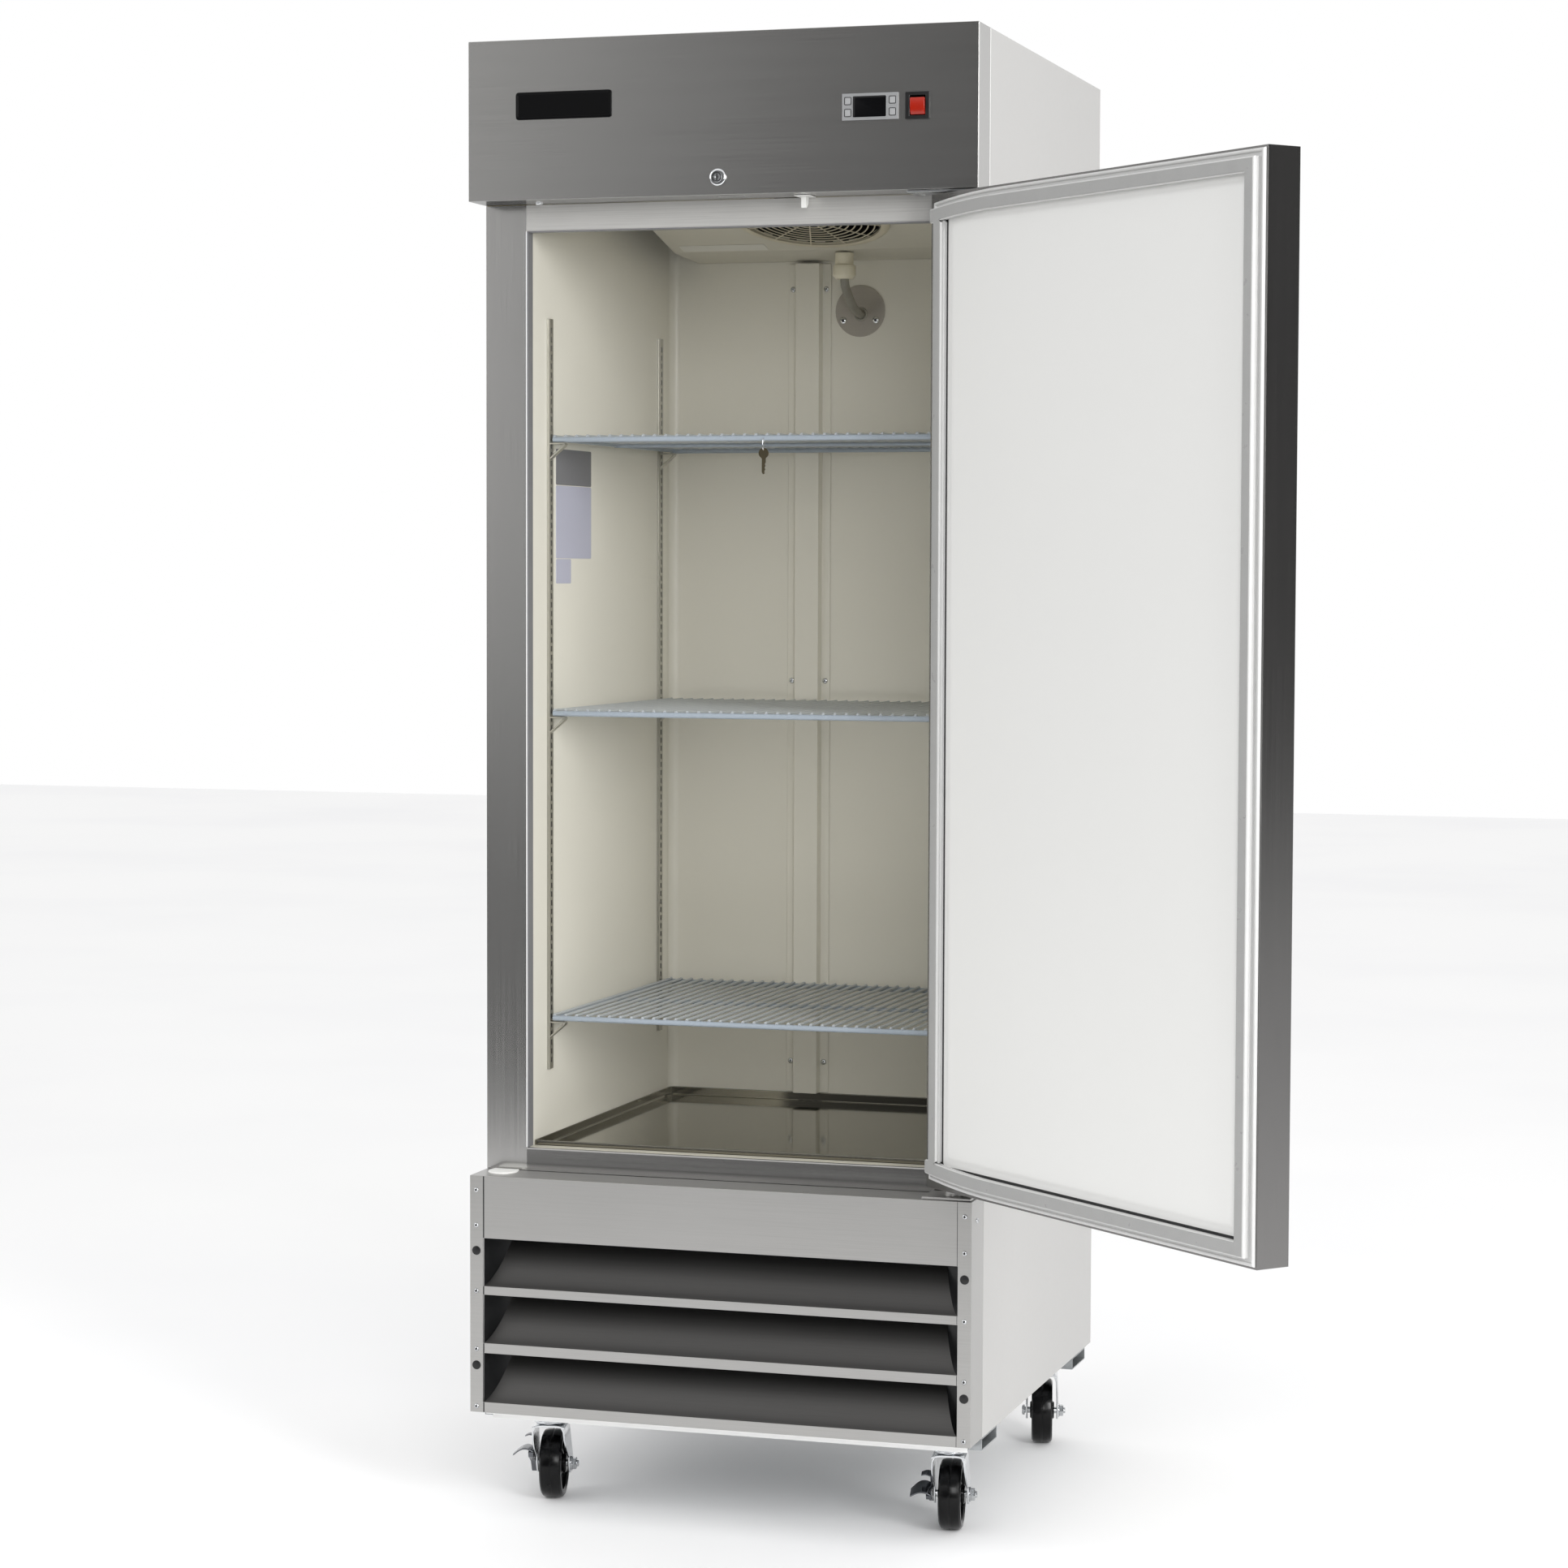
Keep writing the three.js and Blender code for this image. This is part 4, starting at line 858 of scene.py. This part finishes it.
# Guard profiles as (radius, height); the flange's radii start at the rim, a ring's at its own.
GUARD_FLANGE = ((0, 2.3), (0, 0.4), (-1.6, -1), (-5, -2), (-12, -2.4), (-13.5, -1.6), (-13.5, 2.3))
GUARD_RING = ((1, -0.6), (1, -1.5), (0.4, -1.9), (-0.4, -1.9), (-1, -1.5), (-1, -0.6))
GUARD_HUB = ((0, -2.6), (17, -2.4), (21, -1.2), (21.5, 1.6), (0, 1.6))
DRAIN_BORE = 7.3
DRAIN_COLLAR = ((-6.5, 0), (-4, 0.6), (-0.8, 4.5), (0, 6), (0, 19.5), (-0.6, 21), (-3.4, 22))

# The hose's run as (distance back from the drain, height from its top).
HOSE_RUN = (
    (0, 0), (0, -12), (1.2, -21), (5, -29), (14, -36.5), (28, -46), (43, -54.5), (58, -60.2),
    (71, -63.2), (81, -64.6),
)
FAN_BLADES = 5
FAN_STATIONS = 8


def evaporator():
    keep("evaporator_cover", COVER_WHITE)
    keep("evaporator_coil", FINS)
    rim = span("fan_guard", COVER)[0][1]
    inner = rim - 13
    pitch = (inner - 20) / GUARD_RINGS
    guard = Form(COVER).lathe("z", ORIGIN, moved(GUARD_FLANGE, rim, 0), 72, True)
    for k in range(1, GUARD_RINGS):
        guard.lathe("z", ORIGIN, moved(GUARD_RING, inner - k * pitch, 0), 64, True)
    guard.lathe("z", ORIGIN, GUARD_HUB, 40)
    guard.spokes("z", ORIGIN, range(15, 360, 30), 0.9, [(19, -1.4, -0.2), (inner + 2, -1.4, -0.2)])
    guard.replace("fan_guard", "fan_guard_rings", GUARD)
    section = [(105.5, 2.2), (106.8, 2.2), (106.8, 38), (105.5, 38)]
    shroud = Form(COVER).lathe("z", ORIGIN, section, 64, True)
    shroud.make("fan_shroud", BLACK, "black_plastic", bevel=0.2, steps=1)
    fan(COVER, "evaporator_fan")
    (left, right), y, (bottom, top) = span("drain_socket")
    radius = (right - left) / 2
    collar = [(DRAIN_BORE, bottom + 3)] + moved(DRAIN_COLLAR, radius, bottom)
    collar += [(radius - 3.6, top), (DRAIN_BORE, top)]
    socket = Form().lathe("z", (middle((left, right)), middle(y), 0), collar, 48, True)
    socket.replace("drain_socket", "drain_socket_collar", CREAM)
    drain_hose(middle(y))
    wall_plate()


def drain_hose(start):
    across, (_, far), (_, top) = span("drain_hose")
    run = moved(HOSE_RUN, start, top) + [(far, top - 65)]
    path = [Vector((middle(across), y, z)) for y, z in run]
    last = len(path) - 1
    smooth = []
    for i in range(last):
        p0, p1, p2, p3 = (path[max(0, min(last, i + k))] for k in (-1, 0, 1, 2))
        for t in (0, 0.25, 0.5, 0.75):
            bend = (2 * p0 - 5 * p1 + 4 * p2 - p3) * t ** 2 + (3 * p1 - p0 - 3 * p2 + p3) * t ** 3
            smooth.append(0.5 * (2 * p1 + (p2 - p0) * t + bend))
    Form().tube(smooth + path[-1:], 6.7, 28).replace("drain_hose", "drain_hose_tube", HOSE)


def wall_plate():
    refine("hose_cover_plate", "wall_plate", PLATE_STEEL, 0.5)
    (left, right), (face, _), height = span("hose_cover_plate")
    hole = (middle(span("drain_hose")[0]), face, middle(height) - 5)
    section = [(6.9, 1), (6.9, -1.2), (8, -2), (10.2, -1.6), (11, 0), (8.3, 1)]
    Form().lathe("y", hole, section, 36, True).make("hose_grommet", HOSE, "hose_grey")
    centres = [(x, face - 0.1, middle(height) - 14.5) for x in (left + 13, right - 14.5)]
    Form().screws("y", centres, 5.8, -1).make("wall_plate_screws", CHROME, "chrome")
    # Black crosses in the screws' drive recesses are painted shade.
    crosses = Form()
    for x, y, z in centres:
        crosses.box((x - 2.1, x + 2.1), (y - 2, y - 1), (z - 0.6, z + 0.6))
        crosses.box((x - 0.6, x + 0.6), (y - 2.05, y - 1), (z - 2.1, z + 2.1))
    crosses.make("wall_plate_screw_slot_painted_shade", BLACK, "black_plastic", bevel=0.05, steps=1)


def fan(place, node):
    """Curved, twisted blades on a domed hub, inside the CAD fan's own disc."""
    size = span(node, place)
    centre = Vector([middle(pair) for pair in size])
    width, length, height = (high - low for low, high in size)
    radius = min(width, length) / 2 - 1.5
    reach = height / 2 - 1.5
    hub = radius * 0.23
    root = hub * 0.9
    thickness = Vector((0, 0, 0.9))
    form = Form(place)
    form.lathe("z", centre, [(0, -8), (hub * 0.7, -8), (hub, -5), (hub, 8), (hub * 0.8, 9), (0, 9)])
    for k in range(FAN_BLADES):
        loops = []
        for i in range(FAN_STATIONS + 1):
            t = i / FAN_STATIONS
            r = root + (radius - root) * t
            spread = math.radians(26 + 6 * math.sin(t * math.pi))
            rise = reach * (0.9 - 0.35 * t)
            row = []
            for s in (-1, -0.6, -0.2, 0.2, 0.6, 1):
                angle = 2 * math.pi * k / FAN_BLADES + spread * s + 0.25 * t
                row.append(centre + Vector((r * math.cos(angle), r * math.sin(angle), rise * s)))
            loops.append([p + thickness for p in row] + [p - thickness for p in reversed(row)])
        form.skin(loops)
    form.replace(node, node + "_blades", BLACK)


# Door ----

_, (_, DOOR_BACK), (_, DOOR_TOP) = span("door_shell", DOOR)
GASKET_X, (GASKET_BASE, _), GASKET_Z = span("door_gasket", DOOR)
GASKET_IN = 24
PANEL_GAP = 4.5
PANEL_LEVELS = ((0, 0.05), (0, 0.6), (5, 0.8), (8, 1.2), (10, 2), (12, 2.9), (15, 3.4), (22, 3.5))

# Sections as (distance in from the gasket's outer edge, height above the door flange). The outer lip
# reaches GASKET_OUT past the CAD gasket, towards the door's edge.
GASKET_OUT = 5
GASKET_SECTION = (
    (0, 0), (0, 1.2), (0.6, 2.8), (1.6, 3.8), (3.2, 4), (4.4, 3.4), (4.9, 2.2), (5.4, 1.4),
    (9, 1.3), (10.2, 1.8), (10.6, 3), (10, 4.4), (10, 5.2), (11.2, 6), (11.2, 6.5), (10, 7.3),
    (9.9, 9.4), (10.5, 10.9), (11.8, 11.6), (19, 11.75), (26.8, 11.6), (28.3, 10.9), (29, 9.6), (28.8, 8),
    (27.4, 7), (26, 6), (25.4, 4), (26, 2), (27.6, 1.4), (28, 0),
)
FACE_SECTION = ((11.6, 11.3), (12, 12), (19, 12.15), (27, 12), (27.6, 11.3))
GASKET_STEPS = 14
SAG_REACH = 150
SAG = 9
STRIKE_SLOT = ((-14, 14), (16, 34))


def door():
    # The skin's edges take the darker steel as painted shade; its outward face takes the plain steel.
    skin = refine("door_shell", "door_skin", STEEL_DOOR_SHADE, 1.0, 3)
    skin.data.materials.append(STEEL_DOOR_FACE)
    outward = DOOR.to_3x3() @ Vector((0, -1, 0))
    for polygon in skin.data.polygons:
        if polygon.normal.dot(outward) > 0.9 * outward.length:
            polygon.material_index = 1
    keep("door_core", FOAM)
    (left, right), (bottom, top) = (inset(pair, GASKET_IN - 1.5) for pair in (GASKET_X, GASKET_Z))
    panel = ((left, right - PANEL_GAP), (bottom + PANEL_GAP, top))
    depth = (DOOR_BACK + 0.1, DOOR_BACK + 0.4)
    # Black strips in the groove along the panel's high-X side and bottom are painted shadow.
    gap = Form(DOOR).box((right - PANEL_GAP - 1, right), depth, (bottom, top))
    gap.box((left + 1, right - PANEL_GAP), depth, (bottom, bottom + PANEL_GAP + 1))
    gap.make("door_panel_gap_painted_shadow", UNIT_BLACK, "unit_black", "door", 0.05, 1)
    layers = [(within(*panel, a, 5 + a * 0.4, 6), DOOR_BACK + rise) for a, rise in PANEL_LEVELS]
    Form(DOOR).stack("y", layers).replace("door_liner", "door_inner_panel", DOOR_WHITE)
    # The lips and walls take the lighter vinyl as painted light; the face strip over them is painted shade.
    swept_gasket(GASKET_SECTION).replace("door_gasket", "door_gasket_strip", GASKET)
    swept_gasket(FACE_SECTION).make("door_gasket_face", GASKET_FACE_SHADE, "gasket_grey", "door")
    refine("door_handle", "door_pull_cup", BLACK, 1.2, 3)
    low = DOOR_TOP - 14
    outlines = rounded(*STRIKE_SLOT, 1.5), within(*STRIKE_SLOT, 1.2, 1)
    pocket = Form(DOOR).window("z", *outlines, (low, DOOR_TOP - 1.6))
    pocket.prism("z", within(*STRIKE_SLOT, 0.6, 1), (low, DOOR_TOP - 12.8))
    pocket.make("strike_pocket", BLACK, "black_plastic", "door")


def swept_gasket(section):
    """A section led round the door; its top and bottom runs draw in towards the high-X corners."""
    (x0, x1), (z0, z1) = inset(GASKET_X, -GASKET_OUT), inset(GASKET_Z, -GASKET_OUT)
    run = []
    for i in range(GASKET_STEPS + 1):
        x = x0 + (x1 - x0) * (1 - ((GASKET_STEPS - i) / GASKET_STEPS) ** 2)
        sag = SAG * max(0, 1 - (x1 - x) / SAG_REACH) ** 2
        run.append((x, sag, {0: 1, GASKET_STEPS: -1}.get(i, 0)))
    path = [(x, z0 + sag, inward, 1) for x, sag, inward in run]
    path += [(x, z1 - sag, inward, -1) for x, sag, inward in reversed(run)]
    layers = [
        ([(x + d * inward, z + d * up) for x, z, inward, up in path], GASKET_BASE + h)
        for d, h in section
    ]
    return Form(DOOR).stack("y", layers, True)


# Base ----

LOUVRES = ((167, 237.5), (252, 321.5), (334, 402.7))
POST = 19.5
POST_SEAM = 1.8
POST_SCREWS = (471.5, 421, 326.7, 243, 160.6)
POST_PLUGS = (384.6, 219.8)
# Black disc in each post screw's drive recess: painted shade. POST_PLUG is a black hole plug.
SCREW_RECESS_SHADE = ((0, -1.35), (1.25, -1.3), (1.35, -0.6), (0, -0.6))
POST_PLUG = ((0, -1.4), (4.8, -1.4), (6.1, -0.9), (6.6, 0.2), (0, 0.2))
BLADE_STEPS = 12
LIP = (-345, 357)
LIP_BOLTS = ((-318, 46), (262, 46), (340, 46))
WASHER = ((0, 0), (6.25, 0), (6.25, -1.2), (0, -1.2))
BOLT_HEAD = ((0, 0), (5, -0.5), (5, -5.2), (4.3, -6), (0, -6))

# Refrigerant pipes: radius, and a path whose heights start at the compressor's top.
PIPES = (
    (4, ((0, 470, -70), (-30, 460, -60), (-60, 430, -20), (-90, 360, 10), (-110, 260, 20),
         (-120, 160, 20), (-120, 142, 20))),
    (5, ((176, 500, -40), (210, 500, -30), (224, 470, 0), (228, 380, 40), (220, 240, 60),
         (206, 150, 60), (188, 130, 60))),
)


def base():
    rows = [SKIRT, *(z for pair in LOUVRES for z in pair), LEDGE]
    columns = (-HALF, -HALF + POST, HALF - POST, HALF)
    front = Form().cells("y", columns, rows, (0, 1.2), {(1, 1), (1, 3), (1, 5)})
    front.replace("base_grille", "base_front", STEEL_BASE, 0.5, flat=True)
    sides = Form().box((-HALF + 1, HALF - 1), (1, BASE_BACK), (LEDGE - 1.2, LEDGE))
    for side in SIDES:
        sides.box((side * HALF, side * (HALF - 1.2)), (1, BASE_BACK), (SKIRT, LEDGE))
    sides.make("base_sides_and_ledge", STEEL_BASE, "stainless", bevel=0.5)
    louvres(HALF - POST - 0.4)
    seams = Form()
    seam = HALF - POST - 0.4
    for low, high in zip(rows[::2], rows[1::2]):
        height = (low + 0.5, high - 0.5)
        seams.box((-seam, -seam + POST_SEAM), (-0.15, 0.3), height)
        seams.box((seam - POST_SEAM * 0.4, seam), (-0.12, 0.3), height)
    seams.make("post_seams", UNIT_BLACK, "unit_black", bevel=0.04, steps=1)
    screws, plugs_and_shade = Form(), Form()
    for side in SIDES:
        x = side * (HALF - POST / 2)
        screws.screws("y", [(x, -0.1, z) for z in POST_SCREWS], 3.6, -1)
        screws.screws("x", [(side * (HALF + 0.1), 30, 462)], 3.8, side)
        # Black plugs, and black discs in the screw recesses as painted shade.
        for heights, profile, segments in ((POST_SCREWS, SCREW_RECESS_SHADE, 12), (POST_PLUGS, POST_PLUG, 28)):
            for z in heights:
                plugs_and_shade.lathe("y", (x, 0, z), profile, segments)
    screws.make("base_screws", ZINC_PLATE, "chrome")
    plugs_and_shade.make("base_plugs_and_screw_shade", BLACK, "black_plastic")
    strip = Form().box(LIP, (28.5, 30.2), (SKIRT - 13.5, SKIRT - 0.6))
    strip.box(LIP, (1.5, 30.2), (SKIRT - 1.6, SKIRT - 0.2))
    strip.make("base_lip_strip", WHITE_STRIP_AND_HIGHLIGHT, "galvanised", bevel=0.4)


def louvres(half):
    """One thin, sloping blade in each opening, and a black sheet behind them as painted shade."""
    blades = Form()
    for bottom, top in LOUVRES:
        loops = []
        for i in range(BLADE_STEPS + 1):
            t = i / BLADE_STEPS
            y = 0.6 + 44 * t
            z = bottom - 0.2 + (top - 10 - bottom) * (0.55 * t + 0.45 * t * t)
            end = half - 26 * t ** 0.8
            loops.append([(-end, y, z), (end, y, z), (end, y + 0.4, z - 1.3), (-end, y + 0.4, z - 1.3)])
        blades.skin(loops)
    # The blades' darker steel is painted shade.
    blades.make("louvre_blades", STEEL_BLADE_SHADE, "stainless")
    # A black sheet behind the blades stands for the shade inside the base.
    shroud = Form().box((-HALF + 3, HALF - 3), (46.5, 48), (SKIRT + 4, LEDGE - 4))
    shroud.make("louvre_painted_shade_sheet", UNIT_BLACK, "unit_black", bevel=0.3)


def chassis():
    refine("chassis", "chassis_rails", ZINC, 0.4)
    refine("compressor", "compressor_shell", UNIT_BLACK, 1.6, 3)
    keep("condenser_coil", FINS)
    centre = [middle(pair) for pair in span("condenser_fan")]
    facing = Matrix.Rotation(math.radians(90), 4, "X")
    fan(CABINET @ Matrix.Translation(centre) @ facing, "condenser_fan")
    top = span("compressor")[2][1]
    pipes, bolts = Form(), Form()
    for radius, path in PIPES:
        pipes.tube([(x, y, top + z) for x, y, z in path], radius, 12)
    pipes.make("refrigerant_pipes", COPPER, "galvanised")
    for x, y in LIP_BOLTS:
        for profile, segments in ((WASHER, 24), (BOLT_HEAD, 6)):
            bolts.lathe("z", (x, y, SKIRT - 10), profile, segments)
    bolts.make("lip_bolts", ZINC_PLATE, "chrome")


# Casters ----

CROWN = 116
RACE = ((0, -3), (24, -3), (27.5, -5), (28, -9), (25, -11), (25.5, -13), (22, -16), (0, -16))

# Levels of a fork leg as (height, y low, y high): first from the crown, then from the axle.
LEG_TOP = ((0, -24, 27), (-8, -24, 29), (-20, -20, 34), (-38, -4, 42))
LEG_FOOT = ((12, -17, 15), (0, -14, 14), (-8, -11, 11), (-13, -5, 5))
ARCH_STEPS = 12

# Turned parts on the axle, as (segments, profile): pin, washer, hexagon nut and pin end.
AXLE_PARTS = (
    (24, ((0, -31), (7, -31), (8, -29.5), (8, -27), (5, -26.5), (5, 26), (0, 26))),
    (28, ((0, 25.4), (10.5, 25.4), (10.5, 27), (0, 27))),
    (6, ((0, 26.8), (8.6, 26.8), (9.2, 27.6), (9.2, 32), (8.2, 33), (0, 33))),
    (20, ((0, 32.8), (4.6, 32.8), (4.6, 35.4), (3.8, 36), (0, 36))),
)

# Half sections of the wheel; the tread's radii are measured from the wheel's own.
TREAD = [
    (-13, -3), (-12, -14), (-9, -16), (-4.5, -15.8), (-1.6, -13.6), (-0.35, -9), (-0.05, -1.4),
    (-0.7, -0.5),
]
HUB = [(5.3, -18.6), (12, -18.6), (13.5, -17), (14.5, -3)]
BRAKE_X = -25.3
BRAKE_EDGE = [(34, 66), (28, 74), (4, 76.5), (-2, 73), (0, 66), (12, 60), (23, 54)]
PEDAL_STEPS = 10
TAB_STEPS = 5


def caster(corner):
    place = caster_place(corner)
    fork_node, wheel_node = "caster_fork_" + corner, "caster_wheel_" + corner
    _, wheel_y, wheel_z = span(wheel_node, place)
    axle = (0, middle(wheel_y), middle(wheel_z))
    radius = axle[2] - wheel_z[0]
    plate_top = span(fork_node, place)[2][1]
    fork = Form(place).prism("z", rounded((-38, 38), (-34, 34), 6), (plate_top - 3.2, plate_top))
    fork.lathe("z", (0, 0, plate_top), RACE, 40)
    levels = [(CROWN + z, near, far) for z, near, far in LEG_TOP]
    levels += [(axle[2] + z, axle[1] + near, axle[1] + far) for z, near, far in LEG_FOOT]
    for side in SIDES:
        legs = []
        for z, near, far in levels:
            drop = CROWN - z
            outer = 23.8 - 3.5 * max(0, 1 - drop / 9) ** 2 + 1.2 * min(1, drop / 40)
            outside, inside = side * outer, side * (outer - 2.8)
            legs.append([(outside, near, z), (outside, far, z), (inside, far, z), (inside, near, z)])
        fork.skin(legs)
    arch = []
    for i in range(ARCH_STEPS + 1):
        t = i / ARCH_STEPS * 2 - 1
        arch.append(strap(24 * t, -24, 27, CROWN + 2.2 - 3.2 * t ** 4, 3))
    fork.skin(arch)
    fork.replace(fork_node, "fork_frame_" + corner, CHROME, 0.7)
    nuts = Form(place)
    for segments, profile in AXLE_PARTS:
        nuts.lathe("x", axle, profile, segments)
    nuts.make("axle_nut_" + corner, ZINC_PLATE, "chrome", "fork_" + corner)
    wheel = Form(place)
    web = [(14, -3), (radius - 12, -3)]
    for profile, segments in ((moved(TREAD, radius, 0), 96), (web, 64), (HUB, 40)):
        wheel.lathe("x", axle, mirrored(profile), segments, True)
    sections = [(13, -14, 14), (20, -11.5, 11.5), (radius - 11, -11.5, 11.5)]
    wheel.spokes("x", axle, range(0, 360, 45), 1.7, sections)
    wheel.replace(wheel_node, f"wheel_{corner}_tyre", TYRE)


def brake(corner):
    """Side plate hung on the axle, a curled foot pedal bent outward, and a small release tab."""
    lever = Form(at_low_limit(joints[f"brake_{corner}_press"]) @ caster_place(corner))
    lever.prism("x", arc((36, 50), 12.5, -100, 55, 10) + BRAKE_EDGE, (BRAKE_X - 7.5, BRAKE_X))
    pedal, tab = [], []
    for i in range(PEDAL_STEPS + 1):
        s = i / PEDAL_STEPS
        x = BRAKE_X - 0.4 - 30.5 * s
        z = 74.5 + 5.5 * math.sin(math.pi * min(1, s * 1.05)) - 6 * s * s
        rib = z + 1.2 * math.sin(3 * math.pi * s) ** 2
        near, far = -1 + 5 * s ** 3, 28 - 7 * s ** 3
        top = [(near, z), (middle((near, far)), rib), (far, z)]
        pedal.append([(x, y, h) for y, h in top] + [(x, y, h - 2.3) for y, h in reversed(top)])
    for i in range(TAB_STEPS + 1):
        s = i / TAB_STEPS
        tab.append(strap(BRAKE_X - 0.4 - 15 * s, 17 + 3 * s, 31 - 3 * s, 93 + 2.5 * math.sin(math.pi * s), 2))
    lever.skin(pedal).skin(tab).box((BRAKE_X - 2.2, BRAKE_X - 0.2), (17, 31), (72, 93))
    lever.replace("brake_lever_" + corner, "brake_pedal_" + corner, BRAKE_PLATE, 0.5)


# Studio ----

WHITE = (1, 1, 1, 1)
FLOOR = ((-14, -3.1), (14, 16))
FLOOR_GLOW = 0.03
TENT_LIGHT = 0.95
ROOM_LIGHT = 0.07

# Dark round patches of the sky: direction, and the cosines at their outer and inner edge.
ROOMS = (((0.06, -1, 0.06), 0.86, 0.95), ((1, 0.02, 0), 0.8, 0.955))

# Downward parts of a direction between which the light under the tent fades.
HORIZON = (-0.07, 0)
LAMPS = (
    ("key_softbox", (3.3, -3.0, 2.4), (0.2, 0.0, 1.2), 1.4, 2.0, 115),
    ("front_softbox", (1.7, -4.7, 2.3), (-0.4, 0.3, 1.2), 1.3, 1.6, 52),
    ("fill_softbox", (-3.6, -1.8, 2.8), (-0.25, 0.2, 1.3), 1.4, 2.2, 20),
)


def studio():
    (left, near), (right, far) = FLOOR
    mesh = bpy.data.meshes.new("floor")
    corners = [(left, near, 0), (right, near, 0), (right, far, 0), (left, far, 0)]
    mesh.from_pydata(corners, [], [(0, 1, 2, 3)])
    floor = bpy.data.objects.new("floor", mesh)
    bpy.context.scene.collection.objects.link(floor)
    finish = Finish("studio_floor", (252, 252, 252), 0.8)
    finish.tint(finish.noise(0.6, 3), (248, 248, 249), 0.4, 0.7)
    finish.shader["Emission Color"].default_value = WHITE
    finish.shader["Emission Strength"].default_value = FLOOR_GLOW
    mesh.materials.append(finish.done())
    studio_world()
    for name, place, target, width, height, power in LAMPS:
        data = bpy.data.lights.new(name, "AREA")
        data.shape = "RECTANGLE"
        data.size = width
        data.size_y = height
        data.energy = power
        lamp = bpy.data.objects.new(name, data)
        lamp.location = place
        lamp.rotation_euler = (Vector(target) - Vector(place)).to_track_quat("-Z", "Y").to_euler()
        bpy.context.scene.collection.objects.link(lamp)


def studio_world():
    """White behind the object, an even white tent around it, and dark rooms in front and right."""
    world = bpy.data.worlds.new("studio")
    bpy.context.scene.world = world
    world.use_nodes = True
    tree = world.node_tree
    tree.nodes.clear()
    direction = add_node(tree, "ShaderNodeTexCoord").outputs["Generated"]
    light = TENT_LIGHT
    for towards, outer, inner in ROOMS:
        values = {0: direction, 1: Vector(towards).normalized()}
        angle = add_node(tree, "ShaderNodeVectorMath", values, operation="DOT_PRODUCT").outputs["Value"]
        values = {"Value": angle, "From Min": outer, "From Max": inner, "To Min": light}
        values["To Max"] = ROOM_LIGHT
        light = add_node(tree, "ShaderNodeMapRange", values, interpolation_type="SMOOTHSTEP").outputs[0]
    height = add_node(tree, "ShaderNodeSeparateXYZ", {0: direction}).outputs["Z"]
    values = {"Value": height, "From Min": HORIZON[0], "From Max": HORIZON[1]}
    values.update({"To Min": ROOM_LIGHT, "To Max": light})
    strength = add_node(tree, "ShaderNodeMapRange", values).outputs[0]
    lit = add_node(tree, "ShaderNodeBackground", {"Color": WHITE, "Strength": strength}).outputs[0]
    backdrop = add_node(tree, "ShaderNodeBackground", {"Color": WHITE, "Strength": 1}).outputs[0]
    seen = add_node(tree, "ShaderNodeLightPath").outputs["Is Camera Ray"]
    mix = add_node(tree, "ShaderNodeMixShader", {0: seen, 1: lit, 2: backdrop}).outputs[0]
    add_node(tree, "ShaderNodeOutputWorld", {"Surface": mix})


casing()
face_frame()
header()
hinges()
liner()
stickers()
for side_name, side_sign in (("left", -1), ("right", 1)):
    for end_name in ("front", "rear"):
        support(f"pilaster_{side_name}_{end_name}", side_sign)
for level_name in SHELF_LEVELS:
    wire_shelf("shelf_" + level_name)
hanging_key()
evaporator()
door()
base()
chassis()
for corner_name in ("front_left", "front_right", "rear_right", "rear_left"):
    caster(corner_name)
for corner_name in ("front_left", "front_right"):
    brake(corner_name)
studio()
bpy.context.scene.view_settings.view_transform = "Standard"
